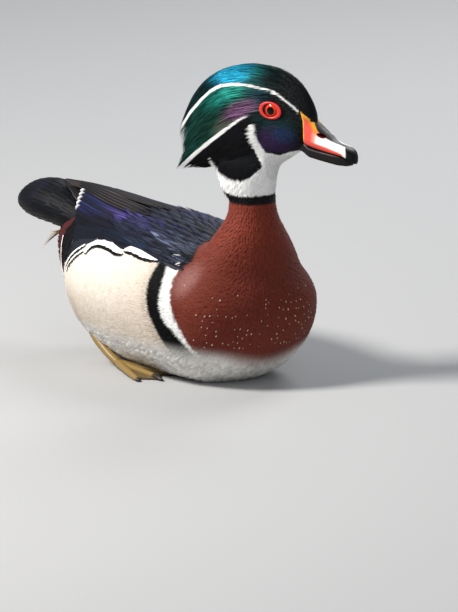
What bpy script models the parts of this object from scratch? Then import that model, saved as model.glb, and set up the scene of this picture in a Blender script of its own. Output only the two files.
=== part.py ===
# A drake wood duck as a life-size model: it rests on its belly with its feet tucked under and its
# head turned a little to its left. Lengths are in millimetres, and MM turns them into metres.
# The bird faces +X, its left side is +Y, and z is 0 on the floor.

import math

import bmesh
import bpy
import numpy as np

MM = 0.001
GAP = 0.3
PAD_GAP = 0.9  # between the smooth torso and a pad over it, so that their facets keep clear

# Driving sizes
ORIGIN_X = -1.9  # middle of the bird's length, from the middle of its beam
WATERLINE = 42.0  # how deep the live bird floats
BREAST_X = 113.0
RUMP_X = -122.0
HEAD_AT = (110.2, 6.0, WATERLINE + 148.0)  # midway between the eyes
HEAD_TURN = math.radians(20.0)
EYE_RADIUS = 7.4
EYE_SIDE = 8.4  # from the head's middle plane to the middle of an eyeball
NECK_FOOT_Z = 105.0
COLLAR_Z = 128.0

# Torso stations from breast to rump: x, half width, top, bottom, height of the widest place, upper and
# lower squareness of the section
TORSO = (
    (BREAST_X, 0.5, 56.0, 52.0, 54.0, 2.0, 2.0),
    (111.0, 18.0, 69.0, 38.0, 54.0, 2.0, 2.0),
    (104.0, 35.5, 79.0, 23.0, 53.0, 2.0, 2.0),
    (95.0, 46.5, 85.5, 11.0, 52.0, 2.1, 2.1),
    (80.0, 54.0, 88.5, 2.0, 52.0, 2.1, 2.2),
    (60.0, 56.8, 88.8, -2.0, 53.0, 2.15, 2.3),
    (35.0, 57.6, 90.8, -3.5, 55.0, 2.25, 2.3),
    (5.0, 58.0, 93.2, -3.5, 56.0, 2.25, 2.3),
    (-25.0, 56.0, 94.6, -1.0, 56.0, 2.25, 2.2),
    (-55.0, 48.2, 94.6, 8.0, 57.0, 2.2, 2.1),
    (-80.0, 36.5, 92.5, 23.0, 60.0, 2.2, 2.0),
    (-100.0, 25.0, 87.0, 42.0, 64.0, 2.1, 2.0),
    (-114.0, 16.0, 83.0, 56.0, 69.0, 2.0, 2.0),
    (RUMP_X, 6.0, 78.0, 66.0, 72.0, 2.0, 2.0),
)

# The outer surface of the folded wings and flanks, in the same columns: it lifts off the rump
OUTER = (
    (75.0, 57.5, 90.5, -4.0, 53.0, 2.15, 2.3),
    (40.0, 62.0, 94.5, -5.0, 55.0, 2.3, 2.3),
    (5.0, 63.5, 97.5, -5.0, 56.0, 2.3, 2.3),
    (-25.0, 61.5, 99.0, -3.0, 56.0, 2.3, 2.2),
    (-55.0, 53.5, 100.5, 4.0, 58.0, 2.25, 2.1),
    (-80.0, 42.0, 102.5, 18.0, 64.0, 2.2, 2.0),
    (-100.0, 29.0, 103.5, 36.0, 72.0, 2.2, 2.0),
    (-130.0, 11.0, 102.0, 60.0, 82.0, 2.0, 2.0),
)

# Neck rings from inside the breast to inside the head: z, x, y, half depth, half width
NECK = (
    (40.0, 74.0, 0.0, 26.0, 40.0),
    (66.0, 78.0, 0.0, 28.0, 42.0),
    (82.0, 79.5, 0.0, 27.5, 38.0),
    (92.0, 81.5, 0.0, 24.5, 33.0),
    (102.0, 83.5, 0.0, 21.5, 26.5),
    (114.0, 86.3, -0.5, 17.0, 18.6),
    (124.0, 86.3, -1.0, 16.0, 16.2),
    (132.0, 85.4, -1.8, 18.8, 17.0),
    (142.0, 84.3, -2.7, 24.8, 18.0),
    (154.0, 82.9, -3.5, 30.0, 18.0),
)

# Head stations from the feathered point on the bill to the nape, in the head's own frame:
# x, half width, top, bottom, height of the widest place, upper and lower squareness
HEAD = (
    (28.5, 0.6, -7.0, -9.4, -8.2, 2.0, 2.0),
    (27.2, 3.8, -2.5, -13.0, -7.5, 1.9, 2.0),
    (24.6, 6.6, 5.0, -18.0, -7.0, 1.85, 2.1),
    (20.4, 9.4, 12.2, -24.0, -8.5, 1.8, 2.1),
    (13.2, 12.5, 19.8, -30.0, -10.5, 1.8, 2.1),
    (4.0, 15.4, 24.5, -36.0, -12.5, 1.8, 2.1),
    (-8.0, 17.4, 26.7, -44.0, -14.0, 1.8, 2.1),
    (-20.0, 18.2, 26.9, -49.0, -14.0, 1.8, 2.1),
    (-33.0, 17.5, 25.2, -48.0, -12.0, 1.8, 2.0),
    (-45.0, 15.0, 20.0, -42.0, -10.0, 1.9, 2.0),
    (-55.0, 11.0, 12.0, -33.0, -9.0, 2.0, 2.0),
    (-61.0, 5.0, 4.0, -20.0, -9.5, 2.0, 2.0),
)

# Crest stations in the head's frame, in the same columns
CREST = (
    (-26.0, 18.4, 26.4, -46.0, -12.0, 1.9, 2.0),
    (-38.0, 17.3, 24.4, -45.0, -12.0, 1.9, 2.0),
    (-48.0, 15.5, 19.0, -44.0, -12.0, 1.9, 2.0),
    (-58.0, 13.2, 10.0, -43.5, -14.0, 1.9, 2.0),
    (-66.0, 11.7, 1.0, -45.0, -20.0, 1.9, 2.0),
    (-72.0, 10.2, -8.0, -46.5, -27.0, 1.9, 2.0),
    (-76.0, 8.0, -23.0, -49.0, -38.0, 2.0, 2.0),
    (-79.5, 4.5, -45.0, -51.5, -48.0, 2.0, 2.0),
    (-81.5, 1.5, -50.5, -52.6, -51.5, 2.0, 2.0),
)

# Tail stations in the torso's columns
TAIL = (
    (-92.0, 13.0, 88.0, 62.0, 76.0, 2.0, 2.0),
    (-104.0, 16.5, 93.0, 66.0, 80.0, 2.0, 2.0),
    (-116.0, 19.0, 97.0, 69.5, 83.0, 2.0, 2.0),
    (-129.0, 21.5, 100.5, 71.0, 85.0, 2.0, 2.0),
    (-142.0, 22.5, 102.0, 71.5, 86.0, 2.0, 2.0),
    (-152.5, 21.0, 100.5, 72.5, 86.0, 2.0, 2.0),
    (-160.5, 17.5, 96.5, 74.5, 85.0, 2.0, 2.0),
    (-166.0, 11.5, 91.5, 77.0, 84.0, 2.0, 2.0),
    (-170.0, 3.0, 86.0, 80.0, 83.0, 2.0, 2.0),
)

# Upper bill stations in the head's frame: x, half width, culmen, edge
BILL_UPPER = (
    (13.0, 9.6, 0.5, -21.0),
    (19.0, 9.4, 0.0, -21.6),
    (25.0, 8.9, -5.2, -23.1),
    (30.6, 8.4, -9.8, -24.3),
    (36.2, 7.9, -13.8, -25.2),
    (41.8, 7.6, -17.8, -25.9),
    (46.5, 7.5, -19.8, -26.4),
    (51.2, 7.1, -20.9, -27.2),
    (54.9, 6.0, -22.4, -29.0),
    (57.7, 3.8, -25.0, -31.6),
    (58.8, 1.2, -28.0, -31.8),
)
BILL_LOWER = (
    (11.0, 8.0, -22.4, -28.6),
    (19.0, 7.9, -22.6, -29.6),
    (26.0, 7.6, -24.4, -31.0),
    (33.4, 7.2, -25.6, -32.2),
    (40.8, 6.9, -26.5, -33.2),
    (47.4, 6.4, -27.2, -33.9),
    (52.1, 5.0, -28.4, -33.9),
    (55.4, 2.0, -30.4, -33.2),
)


def curve_through(stations, at, key=0):
    """Each column of the stations at the given values of column key, with no overshoot."""
    rows = sorted(stations, key=lambda row: row[key])
    table = np.array(rows, float)
    x = table[:, key]
    step = np.diff(x)[:, None]
    slope = np.diff(table, axis=0) / step
    tangent = np.zeros_like(table)
    same = slope[1:] * slope[:-1] > 0
    safe = np.where(same, slope[1:] + slope[:-1], 1.0)
    tangent[1:-1] = np.where(same, 2 * slope[1:] * slope[:-1] / safe, 0.0)
    tangent[0], tangent[-1] = slope[0], slope[-1]
    at = np.clip(np.atleast_1d(np.asarray(at, float)), x[0], x[-1])
    i = np.clip(np.searchsorted(x, at) - 1, 0, len(x) - 2)
    h = (x[i + 1] - x[i])[:, None]
    t = (at[:, None] - x[i][:, None]) / h
    a, b = table[i], table[i + 1]
    ma, mb = tangent[i] * h, tangent[i + 1] * h
    t2, t3 = t * t, t * t * t
    return a * (2 * t3 - 3 * t2 + 1) + ma * (t3 - 2 * t2 + t) + b * (3 * t2 - 2 * t3) + mb * (t3 - t2)


def round_ended(first, last, count):
    """Places from first to last that lie closer together near both ends."""
    turn = np.linspace(0.0, math.pi, count)
    return first + (last - first) * (1 - np.cos(turn)) / 2


def squared_ellipse(angle, squareness):
    """The unit point of a superellipse at an angle from its side."""
    c, s = np.cos(angle), np.sin(angle)
    power = 2.0 / squareness
    return np.sign(c) * np.abs(c) ** power, np.sign(s) * np.abs(s) ** power


def section_point(half, top, bottom, wide, upper, lower, angle):
    """y and z of a body section at an angle from its side, 90 degrees being its top."""
    square = np.where(np.sin(angle) > 0, upper, lower)
    y, z = squared_ellipse(angle, square)
    reach = np.where(np.sin(angle) > 0, top - wide, wide - bottom)
    return half * y, wide + reach * z


def surface_point(table, x, degrees, side):
    """A point on a table's surface at x and at an angle up from its side."""
    row = curve_through(table, x)[0]
    y, z = section_point(*row[1:], math.radians(degrees))
    return np.array([float(x), side * float(y), float(z)])


def surface_frame(table, x, degrees, side):
    """A surface's point, its outward normal, and its length along a degree."""
    here = surface_point(table, x, degrees, side)
    along = surface_point(table, x + 0.5, degrees, side) - surface_point(table, x - 0.5, degrees, side)
    turn = surface_point(table, x, degrees + 0.5, side) - surface_point(table, x, degrees - 0.5, side)
    normal = unit(np.cross(along, turn))
    if normal @ (here - np.array([here[0], 0.0, curve_through(table, x)[0][4]])) < 0:
        normal = -normal
    return here, normal, np.linalg.norm(turn)


def head_to_body(points):
    """Points in the head's own frame, placed on the bird."""
    p = np.asarray(points, float)
    c, s = math.cos(HEAD_TURN), math.sin(HEAD_TURN)
    x, y, z = p[..., 0], p[..., 1], p[..., 2]
    turned = np.stack([x * c - y * s, x * s + y * c, z], axis=-1)
    return turned + np.array(HEAD_AT)


def material(name, colour, roughness, metallic=0.0):
    made = bpy.data.materials.new(name)
    made.use_nodes = True
    shader = made.node_tree.nodes["Principled BSDF"]
    shader.inputs["Base Color"].default_value = (*colour, 1.0)
    shader.inputs["Roughness"].default_value = roughness
    shader.inputs["Metallic"].default_value = metallic
    return made


def new_object(name, points, faces):
    """A mesh object from points in millimetres, with its faces pointing out."""
    shifted = (np.asarray(points, float) - np.array([ORIGIN_X, 0.0, 0.0])) * MM
    mesh = bpy.data.meshes.new(name)
    mesh.from_pydata([tuple(p) for p in shifted], [], faces)
    work = bmesh.new()
    work.from_mesh(mesh)
    bmesh.ops.recalc_face_normals(work, faces=work.faces)
    if work.calc_volume(signed=True) < 0:
        bmesh.ops.reverse_faces(work, faces=work.faces)
    work.to_mesh(mesh)
    work.free()
    made = bpy.data.objects.new(name, mesh)
    bpy.context.scene.collection.objects.link(made)
    return made


def loft(name, rings):
    """A closed solid through rings of the same number of points, with a point at each end."""
    rings = np.asarray(rings, float)
    count, around = rings.shape[:2]
    points = [*rings.reshape(-1, 3), rings[0].mean(0), rings[-1].mean(0)]
    faces = []
    for i in range(count - 1):
        for j in range(around):
            k = (j + 1) % around
            a, b = i * around + j, i * around + k
            c, d = (i + 1) * around + k, (i + 1) * around + j
            faces += [(a, b, c), (a, c, d)]
    first, last = count * around, count * around + 1
    end = (count - 1) * around
    for j in range(around):
        k = (j + 1) % around
        faces += [(j, first, k), (end + j, end + k, last)]
    return new_object(name, points, faces)


def grown(rings, by):
    """Rings of a loft moved out along its surface by a distance."""
    rings = np.asarray(rings, float)
    if not by:
        return rings
    along = np.gradient(rings, axis=0)
    across = np.roll(rings, -1, axis=1) - np.roll(rings, 1, axis=1)
    normal = np.cross(along, across)
    normal /= np.linalg.norm(normal, axis=2, keepdims=True)
    away = rings - rings.mean(axis=1, keepdims=True)
    if (normal * away).sum() < 0:
        normal = -normal
    moved = rings + normal * by
    spine = rings.mean(axis=1)
    moved[0] += by * unit(spine[0] - spine[1])
    moved[-1] += by * unit(spine[-1] - spine[-2])
    return moved


def unit(v):
    v = np.asarray(v, float)
    return v / np.linalg.norm(v)


def torso_rings(count=24, around=32):
    turn = np.linspace(0, 2 * math.pi, around, endpoint=False)
    rows = curve_through(TORSO, round_ended(BREAST_X, RUMP_X, count))
    rings = []
    for x, half, top, bottom, wide, upper, lower in rows:
        y, z = section_point(half, top, bottom, wide, upper, lower, turn)
        rings.append(np.stack([np.full(around, x), y, z], axis=1))
    return rings


def neck_rings(count=9, around=24):
    turn = np.linspace(0, 2 * math.pi, around, endpoint=False)
    rows = curve_through(NECK, np.linspace(NECK[0][0], NECK[-1][0], count))
    rings = []
    for z, x, y, deep, half in rows:
        rings.append(np.stack([x + deep * np.cos(turn), y + half * np.sin(turn), np.full(around, z)], axis=1))
    return rings


def head_rings(count=18, around=28):
    turn = np.linspace(0, 2 * math.pi, around, endpoint=False)
    rows = curve_through(HEAD, round_ended(HEAD[0][0], HEAD[-1][0], count))
    rings = []
    for x, half, top, bottom, wide, upper, lower in rows:
        y, z = section_point(half, top, bottom, wide, upper, lower, turn)
        rings.append(head_to_body(np.stack([np.full(around, x), y, z], axis=1)))
    return rings


def evaluated_mesh(obj):
    graph = bpy.context.evaluated_depsgraph_get()
    return bpy.data.meshes.new_from_object(obj.evaluated_get(graph))


def apply_modifiers(obj):
    mesh = evaluated_mesh(obj)
    obj.modifiers.clear()
    old = obj.data
    obj.data = mesh
    bpy.data.meshes.remove(old)


def drop(objects):
    for obj in objects:
        bpy.data.objects.remove(obj, do_unlink=True)


def fuse(name, pieces, solver="EXACT"):
    """One solid from closed pieces, which are used up."""
    base, rest = pieces[0], pieces[1:]
    base.name = name
    if rest:
        group = bpy.data.collections.new(name + "_pieces")
        bpy.context.scene.collection.children.link(group)
        for piece in rest:
            bpy.context.scene.collection.objects.unlink(piece)
            group.objects.link(piece)
        join = base.modifiers.new("join", "BOOLEAN")
        join.operation = "UNION"
        join.operand_type = "COLLECTION"
        join.collection = group
        join.solver = solver
        if solver == "EXACT":
            join.use_self = False
        apply_modifiers(base)
        drop(rest)
        bpy.data.collections.remove(group)
    keep_largest(base)
    return base


def combine(obj, other, operation, solver="EXACT"):
    """obj cut by, or kept inside, another closed object, which stays."""
    step = obj.modifiers.new("cut", "BOOLEAN")
    step.operation = operation
    step.object = other
    step.solver = solver
    apply_modifiers(obj)
    keep_largest(obj)
    return obj


def keep_largest(obj):
    """Keeps only the largest closed surface of a mesh."""
    work = bmesh.new()
    work.from_mesh(obj.data)
    bmesh.ops.remove_doubles(work, verts=work.verts, dist=1e-7)
    left, groups = set(work.faces), []
    while left:
        todo, group = [left.pop()], []
        while todo:
            face = todo.pop()
            group.append(face)
            for edge in face.edges:
                for other in edge.link_faces:
                    if other in left:
                        left.discard(other)
                        todo.append(other)
        groups.append(group)
    groups.sort(key=lambda group: sum(face.calc_area() for face in group))
    spare = [face for group in groups[:-1] for face in group]
    if spare:
        bmesh.ops.delete(work, geom=spare, context="FACES")
    work.to_mesh(obj.data)
    work.free()


def merge_level_faces(obj):
    """Joins faces that lie level with each other, which a Boolean leaves in pieces."""
    work = bmesh.new()
    work.from_mesh(obj.data)
    bmesh.ops.dissolve_limit(work, angle_limit=math.radians(1.5), verts=work.verts, edges=work.edges)
    bmesh.ops.triangulate(work, faces=work.faces)
    work.to_mesh(obj.data)
    work.free()


def copy_of(obj, name):
    made = obj.copy()
    made.data = obj.data.copy()
    made.name = name
    bpy.context.scene.collection.objects.link(made)
    return made


def body_core(name, by=0.0):
    """Torso, neck and head as one solid, grown by a distance."""
    pieces = [
        loft(name, grown(torso_rings(), by)),
        loft(name + "_neck", grown(neck_rings(), by)),
        loft(name + "_head", grown(head_rings(), by)),
    ]
    return fuse(name, pieces)


def table_rings(table, xs, around, by=0.0, place=None):
    """Rings of a table's surface at the given xs, moved out by a distance."""
    turn = np.linspace(0, 2 * math.pi, around, endpoint=False)
    rings = []
    for x, half, top, bottom, wide, upper, lower in curve_through(table, xs):
        y, z = section_point(half, top, bottom, wide, upper, lower, turn)
        rings.append(np.stack([np.full(around, x), y, z], axis=1))
    rings = grown(rings, by)
    return place(rings) if place else rings


def sliced(obj, z, keep_above):
    """obj cut by a level plane and closed there."""
    work = bmesh.new()
    work.from_mesh(obj.data)
    found = bmesh.ops.bisect_plane(
        work,
        geom=[*work.verts, *work.edges, *work.faces],
        plane_co=(0, 0, z * MM),
        plane_no=(0, 0, 1),
        clear_inner=keep_above,
        clear_outer=not keep_above,
    )
    rim = [item for item in found["geom_cut"] if isinstance(item, bmesh.types.BMEdge)]
    bmesh.ops.holes_fill(work, edges=rim)
    bmesh.ops.triangulate(work, faces=[face for face in work.faces if len(face.verts) > 4])
    work.to_mesh(obj.data)
    work.free()
    keep_largest(obj)
    return obj


def sheet_solid(name, top, bottom):
    """A closed solid between two grids of points of the same shape."""
    top, bottom = np.asarray(top, float), np.asarray(bottom, float)
    rows, columns = top.shape[:2]
    count = rows * columns
    points = [*top.reshape(-1, 3), *bottom.reshape(-1, 3)]
    faces = []
    for i in range(rows - 1):
        for j in range(columns - 1):
            a, b = i * columns + j, i * columns + j + 1
            c, d = a + columns, b + columns
            faces += [(a, b, d), (a, d, c)]
            faces += [(count + a, count + d, count + b), (count + a, count + c, count + d)]
    rim = [j for j in range(columns)]
    rim += [i * columns + columns - 1 for i in range(1, rows)]
    rim += [(rows - 1) * columns + j for j in range(columns - 2, -1, -1)]
    rim += [i * columns for i in range(rows - 2, 0, -1)]
    for a, b in zip(rim, rim[1:] + rim[:1]):
        faces += [(b, a, count + a), (b, count + a, count + b)]
    return new_object(name, points, faces)


def patch(name, table, side, xs, low, high, across, height, depth):
    """A pad on a table's surface between two angles that follow x, thinner at its rim.

    It reaches down by its depth, or to just over the torso.
    """
    top, bottom = [], []
    count = len(xs)
    for i, x in enumerate(xs):
        from_end = min(i, count - 1 - i) / 2.0
        upper, lower = [], []
        for j in range(across):
            t = j / (across - 1)
            degrees = low(x) + (high(x) - low(x)) * t
            here, normal, _ = surface_frame(table, x, degrees, side)
            from_rim = min(1.0, from_end, min(j, across - 1 - j) / 2.0)
            upper.append(off_middle(here + normal * (height * from_rim - 0.2 * (1 - from_rim)), side))
            lower.append(off_middle(floor_under(here, normal, depth, x, degrees, side), side))
        top.append(upper)
        bottom.append(lower)
    return sheet_solid(name, top, bottom)


def floor_under(here, normal, depth, x, degrees, side):
    """The point at a depth under a surface, or over the torso where that comes first."""
    deep = here - normal * depth
    if x < RUMP_X + 3:
        return deep
    flesh, out, _ = surface_frame(TORSO, x, degrees, side)
    resting = flesh + out * PAD_GAP
    return resting if (resting - deep) @ out > 0 else deep


def step_curve(points):
    """A function of x through (x, value) points."""
    return lambda x: float(curve_through(points, x)[0][1])


FLANK_TOP = step_curve(
    ((60, 29.5), (55, 31.2), (51, 35), (28, 38.2), (-2, 36.2), (-16.5, 36.2), (-29, 33.5), (-40, 27.2),
     (-48.5, 18.2), (-55, 6.5), (-66, -7.5))
)
SEAM = step_curve(
    ((75, 29), (60, 30.8), (55, 32.4), (51, 36.2), (28, 39.4), (-2, 37.4), (-16.5, 37.4), (-29, 34.7),
     (-40, 28.4), (-48.5, 21.4), (-54, 25), (-66, 30), (-110, 33))
)
FLANK_FOOT = step_curve(((60, -14), (50, -26), (30, -32), (-20, -32), (-50, -30), (-66, -20)))
WING_FOOT = step_curve(
    ((66, 50), (58, 42), (54.5, 36.5), (51, 37.3), (28, 40.5), (-2, 38.5), (-16.5, 38.5), (-29, 35.8),
     (-40, 29.5), (-49, 24.5), (-56, 37), (-66, 45.5), (-84, 58), (-103, 74))
)
WING_TOP = step_curve(
    ((66, 62), (60, 69), (48, 77), (25, 86), (0, 89.5), (-50, 89.8), (-103, 89))
)


def off_middle(point, side):
    """The point, kept on its own side of the bird's middle plane."""
    if abs(side) == 1:
        point[1] = side * max(side * point[1], 0.5)
    return point


def surface_vane(name, table, side, root, tip, width, lift, tilt=0.4, thick=(0.9, 0.7), stations=6, bow=0.0,
                 shape=(0.45, 0.85, 1.0, 1.0, 0.86, 0.42), highest=89.95):
    """A feather that follows a table's surface from root to tip, each an x and an angle.

    lift holds its height over the surface at root and tip; tilt raises its upper edge and sinks its lower one.
    """
    top, bottom = [], []
    for i in range(stations):
        t = i / (stations - 1)
        x = root[0] + (tip[0] - root[0]) * t
        degrees = root[1] + (tip[1] - root[1]) * t + bow * math.sin(math.pi * t)
        rise = lift[0] + (lift[1] - lift[0]) * t
        half = width / 2 * np.interp(t, np.linspace(0, 1, len(shape)), shape)
        skin = thick[0] + (thick[1] - thick[0]) * t
        _, _, per_degree = surface_frame(table, x, degrees, side)
        upper, lower = [], []
        for edge in (-1.0, 0.0, 1.0):
            at = x + abs(edge) * 0.18 * half if i == stations - 1 else x
            turned = min(degrees + edge * half / max(per_degree, 0.05), highest)
            here, normal, _ = surface_frame(table, at, turned, side)
            over = rise + tilt * edge + (0.25 if edge == 0 else 0.0)
            upper.append(off_middle(here + normal * over, side))
            lower.append(off_middle(here + normal * (over - skin), side))
        top.append(upper)
        bottom.append(lower)
    return sheet_solid(name, top, bottom)


def bent_line(root, middle, tip, count):
    """A smooth line through three points."""
    t = np.linspace(0, 1, count)[:, None]
    root, middle, tip = (np.asarray(p, float) for p in (root, middle, tip))
    bend = 2 * middle - (root + tip) / 2
    return root * (1 - t) ** 2 + 2 * bend * t * (1 - t) + tip * t * t


def lock(name, root, middle, tip, width, thick, out, stations=5, shape=(0.55, 1.0, 0.95, 0.6, 0.16),
         place=head_to_body):
    """A flat tapered lock of feathers along a bent line; out gives the way its flat side faces."""
    line = bent_line(root, middle, tip, stations)
    along = np.gradient(line, axis=0)
    top, bottom = [], []
    for i in range(stations):
        normal = out(line[i])
        across = unit(np.cross(unit(along[i]), normal))
        normal = unit(np.cross(across, unit(along[i])))
        half = width / 2 * shape[i]
        skin = thick / 2 * (1.0 if i < stations - 1 else 0.5)
        top.append([line[i] + across * half * edge + normal * (skin - 0.25 * abs(edge)) for edge in (-1, 0, 1)])
        bottom.append([line[i] + across * half * edge - normal * (skin + 0.25 * abs(edge)) for edge in (-1, 0, 1)])
    top, bottom = np.array(top), np.array(bottom)
    if place:
        top, bottom = place(top), place(bottom)
    return sheet_solid(name, top, bottom)


def crest_out(p):
    """The way the crest faces at a point, as on an egg round its middle."""
    return unit([(p[0] + 42.0) / 30.0**2, p[1] / 15.0**2, (p[2] + 14.0) / 32.0**2])


def ball(name, centre, radius, rings=14, around=20, stretch=(1.0, 1.0, 1.0)):
    made = []
    for t in np.linspace(0, math.pi, rings + 1)[1:-1]:
        turn = np.linspace(0, 2 * math.pi, around, endpoint=False)
        made.append(np.stack([
            radius * stretch[0] * math.sin(t) * np.cos(turn),
            np.full(around, radius * stretch[1] * math.cos(t)),
            radius * stretch[2] * math.sin(t) * np.sin(turn),
        ], axis=1))
    shell = np.array(made)
    solid = loft(name, head_to_body(shell + np.array(centre)))
    return solid


def rod(name, line, radii, around=10, flat=1.0):
    """A round bar along a line of points, as wide as its radii and flattened in z."""
    line = np.asarray(line, float)
    along = np.gradient(line, axis=0)
    rings = []
    for p, way, radius in zip(line, along, radii):
        side = unit(np.cross(way, (0.0, 0.0, 1.0)))
        up = unit(np.cross(side, way))
        turn = np.linspace(0, 2 * math.pi, around, endpoint=False)[:, None]
        rings.append(p + radius * (np.cos(turn) * side + flat * np.sin(turn) * up))
    return loft(name, rings)


def mirrored(points, side):
    return [(x, side * y, z) for x, y, z in points]


def lid_ring(side):
    """The fleshy ring round an eye."""
    around, section = 20, 6
    rings = []
    for turn in np.linspace(0, 2 * math.pi, around, endpoint=False):
        x, z = 6.1 * math.cos(turn), 4.5 * math.sin(turn) - 0.12 * 6.1 * math.cos(turn)
        out_x, out_z = math.cos(turn), math.sin(turn)
        y = 14.35 - 0.11 * x - 0.10 * z
        row = []
        for part_turn in np.linspace(0, 2 * math.pi, section, endpoint=False):
            away, up = 1.35 * math.cos(part_turn), 1.15 * math.sin(part_turn)
            row.append((x + out_x * away, side * (y + up), z + out_z * away))
        rings.append(row)
    rings = head_to_body(np.array(rings))
    count = around
    faces = []
    for i in range(count):
        for j in range(section):
            a, b = i * section + j, i * section + (j + 1) % section
            c, d = ((i + 1) % count) * section + (j + 1) % section, ((i + 1) % count) * section + j
            faces += [(a, b, c), (a, c, d)]
    return new_object("lid", rings.reshape(-1, 3), faces)


def build_trunk(feathers):
    """Torso, neck and head, cut from one shape."""
    whole = body_core("torso")
    neck, head = copy_of(whole, "neck"), copy_of(whole, "head")
    sliced(whole, NECK_FOOT_Z, False)
    sliced(whole, 0.0, True)
    sliced(neck, NECK_FOOT_Z + GAP, True)
    sliced(neck, COLLAR_Z, False)
    sliced(head, COLLAR_Z + GAP, True)
    head = fuse("head", [head, lid_ring(-1), lid_ring(1)])
    for side in (-1, 1):
        socket = ball("socket", (0.0, side * EYE_SIDE, 0.0), EYE_RADIUS + GAP, 10, 16)
        combine(head, socket, "DIFFERENCE")
        drop([socket])
    for made in (whole, neck, head):
        dress(made, feathers)
    return whole, neck, head


def dress(obj, look):
    """Gives a finished node its material."""
    merge_level_faces(obj)
    obj.data.materials.clear()
    obj.data.materials.append(look)


def build_eyes(look):
    for name, side in (("eye_right", -1), ("eye_left", 1)):
        eye = ball(name, (0.0, side * EYE_SIDE, 0.0), EYE_RADIUS, 10, 16)
        dress(eye, look)


def bill_rings(stations, count, square, by=0.0):
    turn = np.linspace(0, 2 * math.pi, 24, endpoint=False)
    rings = []
    for x, half, top, bottom in curve_through(stations, round_ended(stations[0][0], stations[-1][0], count)):
        y, z = squared_ellipse(turn, square)
        middle, reach = (top + bottom) / 2, (top - bottom) / 2
        rings.append(np.stack([np.full(24, x), half * y, middle + reach * z], axis=1))
    return head_to_body(grown(rings, by))


def build_bill(core, horn):
    upper = loft("bill_upper", bill_rings(BILL_UPPER, 15, 2.6))
    lower = loft("bill_lower", bill_rings(BILL_LOWER, 12, 2.8))
    above = loft("above", bill_rings(BILL_UPPER, 15, 2.6, GAP))
    combine(upper, core, "DIFFERENCE")
    combine(lower, core, "DIFFERENCE")
    combine(lower, above, "DIFFERENCE")
    nostril = []
    for side in (-12.0, 12.0):
        turn = np.linspace(0, 2 * math.pi, 16, endpoint=False)
        x, z = 3.1 * np.cos(turn), 1.15 * np.sin(turn) - 0.35 * 3.1 * np.cos(turn)
        nostril.append(np.stack([34.7 + x, np.full(16, side), -14.6 + z], axis=1))
    hole = loft("hole", head_to_body(np.array(nostril)))
    combine(upper, hole, "DIFFERENCE")
    drop([above, hole])
    dress(upper, horn)
    dress(lower, horn)


def foot_parts(side):
    """A webbed foot lying flat beside the belly, and the shank folded back over it."""
    base = (-6.0, 44.0, 3.2)
    toes = (((20.0, 37.0, 2.6), (33.0, 33.0, 2.1)), ((22.0, 45.5, 2.6), (43.0, 46.5, 2.1)),
            ((18.0, 53.5, 2.6), (36.0, 60.0, 2.1)))
    pieces = []
    for middle, tip in toes:
        line = mirrored([base, middle, tip, (tip[0] + 4.5, tip[1], 1.0)], side)
        pieces.append(rod("toe", line, (3.0, 2.5, 2.1, 0.7), 10, 0.85))
    hind = mirrored([base, (-14.0, 40.0, 2.4), (-20.0, 38.5, 1.4)], side)
    pieces.append(rod("hind", hind, (2.6, 1.7, 0.8), 8, 0.85))
    shank = mirrored([base, (-18.0, 45.0, 9.0), (-34.0, 44.0, 19.0), (-44.0, 38.0, 31.0)], side)
    pieces.append(rod("shank", shank, (3.1, 3.3, 4.2, 5.6), 12))
    rim = [(-5, 41.5), (10, 38.5), (22, 35.0), (33, 32.8), (33.5, 38.5), (37, 42.5), (43, 46.4), (38, 51.0), (34, 55.0),
           (36, 60.0), (22, 56.5), (8, 51.0), (-5, 46.5)]
    upper = [(x, side * y, 2.0) for x, y in rim]
    lower = [(x, side * y, 0.0) for x, y in rim]
    pieces.append(loft("web", [upper, lower]))
    return pieces


def build_legs(core, look):
    for name, side in (("leg_right", -1), ("leg_left", 1)):
        leg = fuse(name, foot_parts(side))
        combine(leg, core, "DIFFERENCE")
        sliced(leg, 0.0, True)
        dress(leg, look)


def flank_pieces(side):
    """The flank's pad and three rows of broad rounded feathers that lap back over it."""
    pieces = [patch("flank", OUTER, side, np.linspace(58, -60, 13), FLANK_FOOT, FLANK_TOP, 7, -0.5, 6.0)]
    for low, count in ((-17.0, 4), (-2.0, 5), (13.0, 5)):
        for i in range(count):
            x = 44.0 - i * 22.0 + (4.0 if low > 0 else 0.0)
            sink = 0.0 if x > -25 else (-25 - x) * (0.12 if low < 0 else 0.42)
            root, tip = (x, low + 2.0 - sink * 0.3), (x - 33.0, low - sink)
            pieces.append(surface_vane("flank_vane", OUTER, side, root, tip, 17.0, (-0.9, 0.75), 0.25, (1.7, 1.5), 4,
                                       shape=(0.7, 1.0, 0.95, 0.5)))
    return pieces


TERTIALS = (
    ((0, 87.5), (-103, 84), 12.0), ((0, 80), (-96, 75), 13.0), ((0, 71.5), (-88, 64), 13.0),
    ((2, 63.5), (-80, 55), 13.0), ((4, 56), (-71, 48), 12.0), ((4, 50), (-62, 42), 10.0),
)
SECONDARIES = (((10, 46.5), (-58, 36.5), 8.0), ((10, 45.5), (-55, 32.0), 8.0))
PRIMARIES = (
    ((-38, 64), (-106, 66), 7.0), ((-38, 68), (-112, 70), 7.0), ((-38, 72), (-118, 74), 6.5),
    ((-38, 76), (-123, 79), 6.0), ((-38, 80), (-127, 83), 5.5),
)


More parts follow.
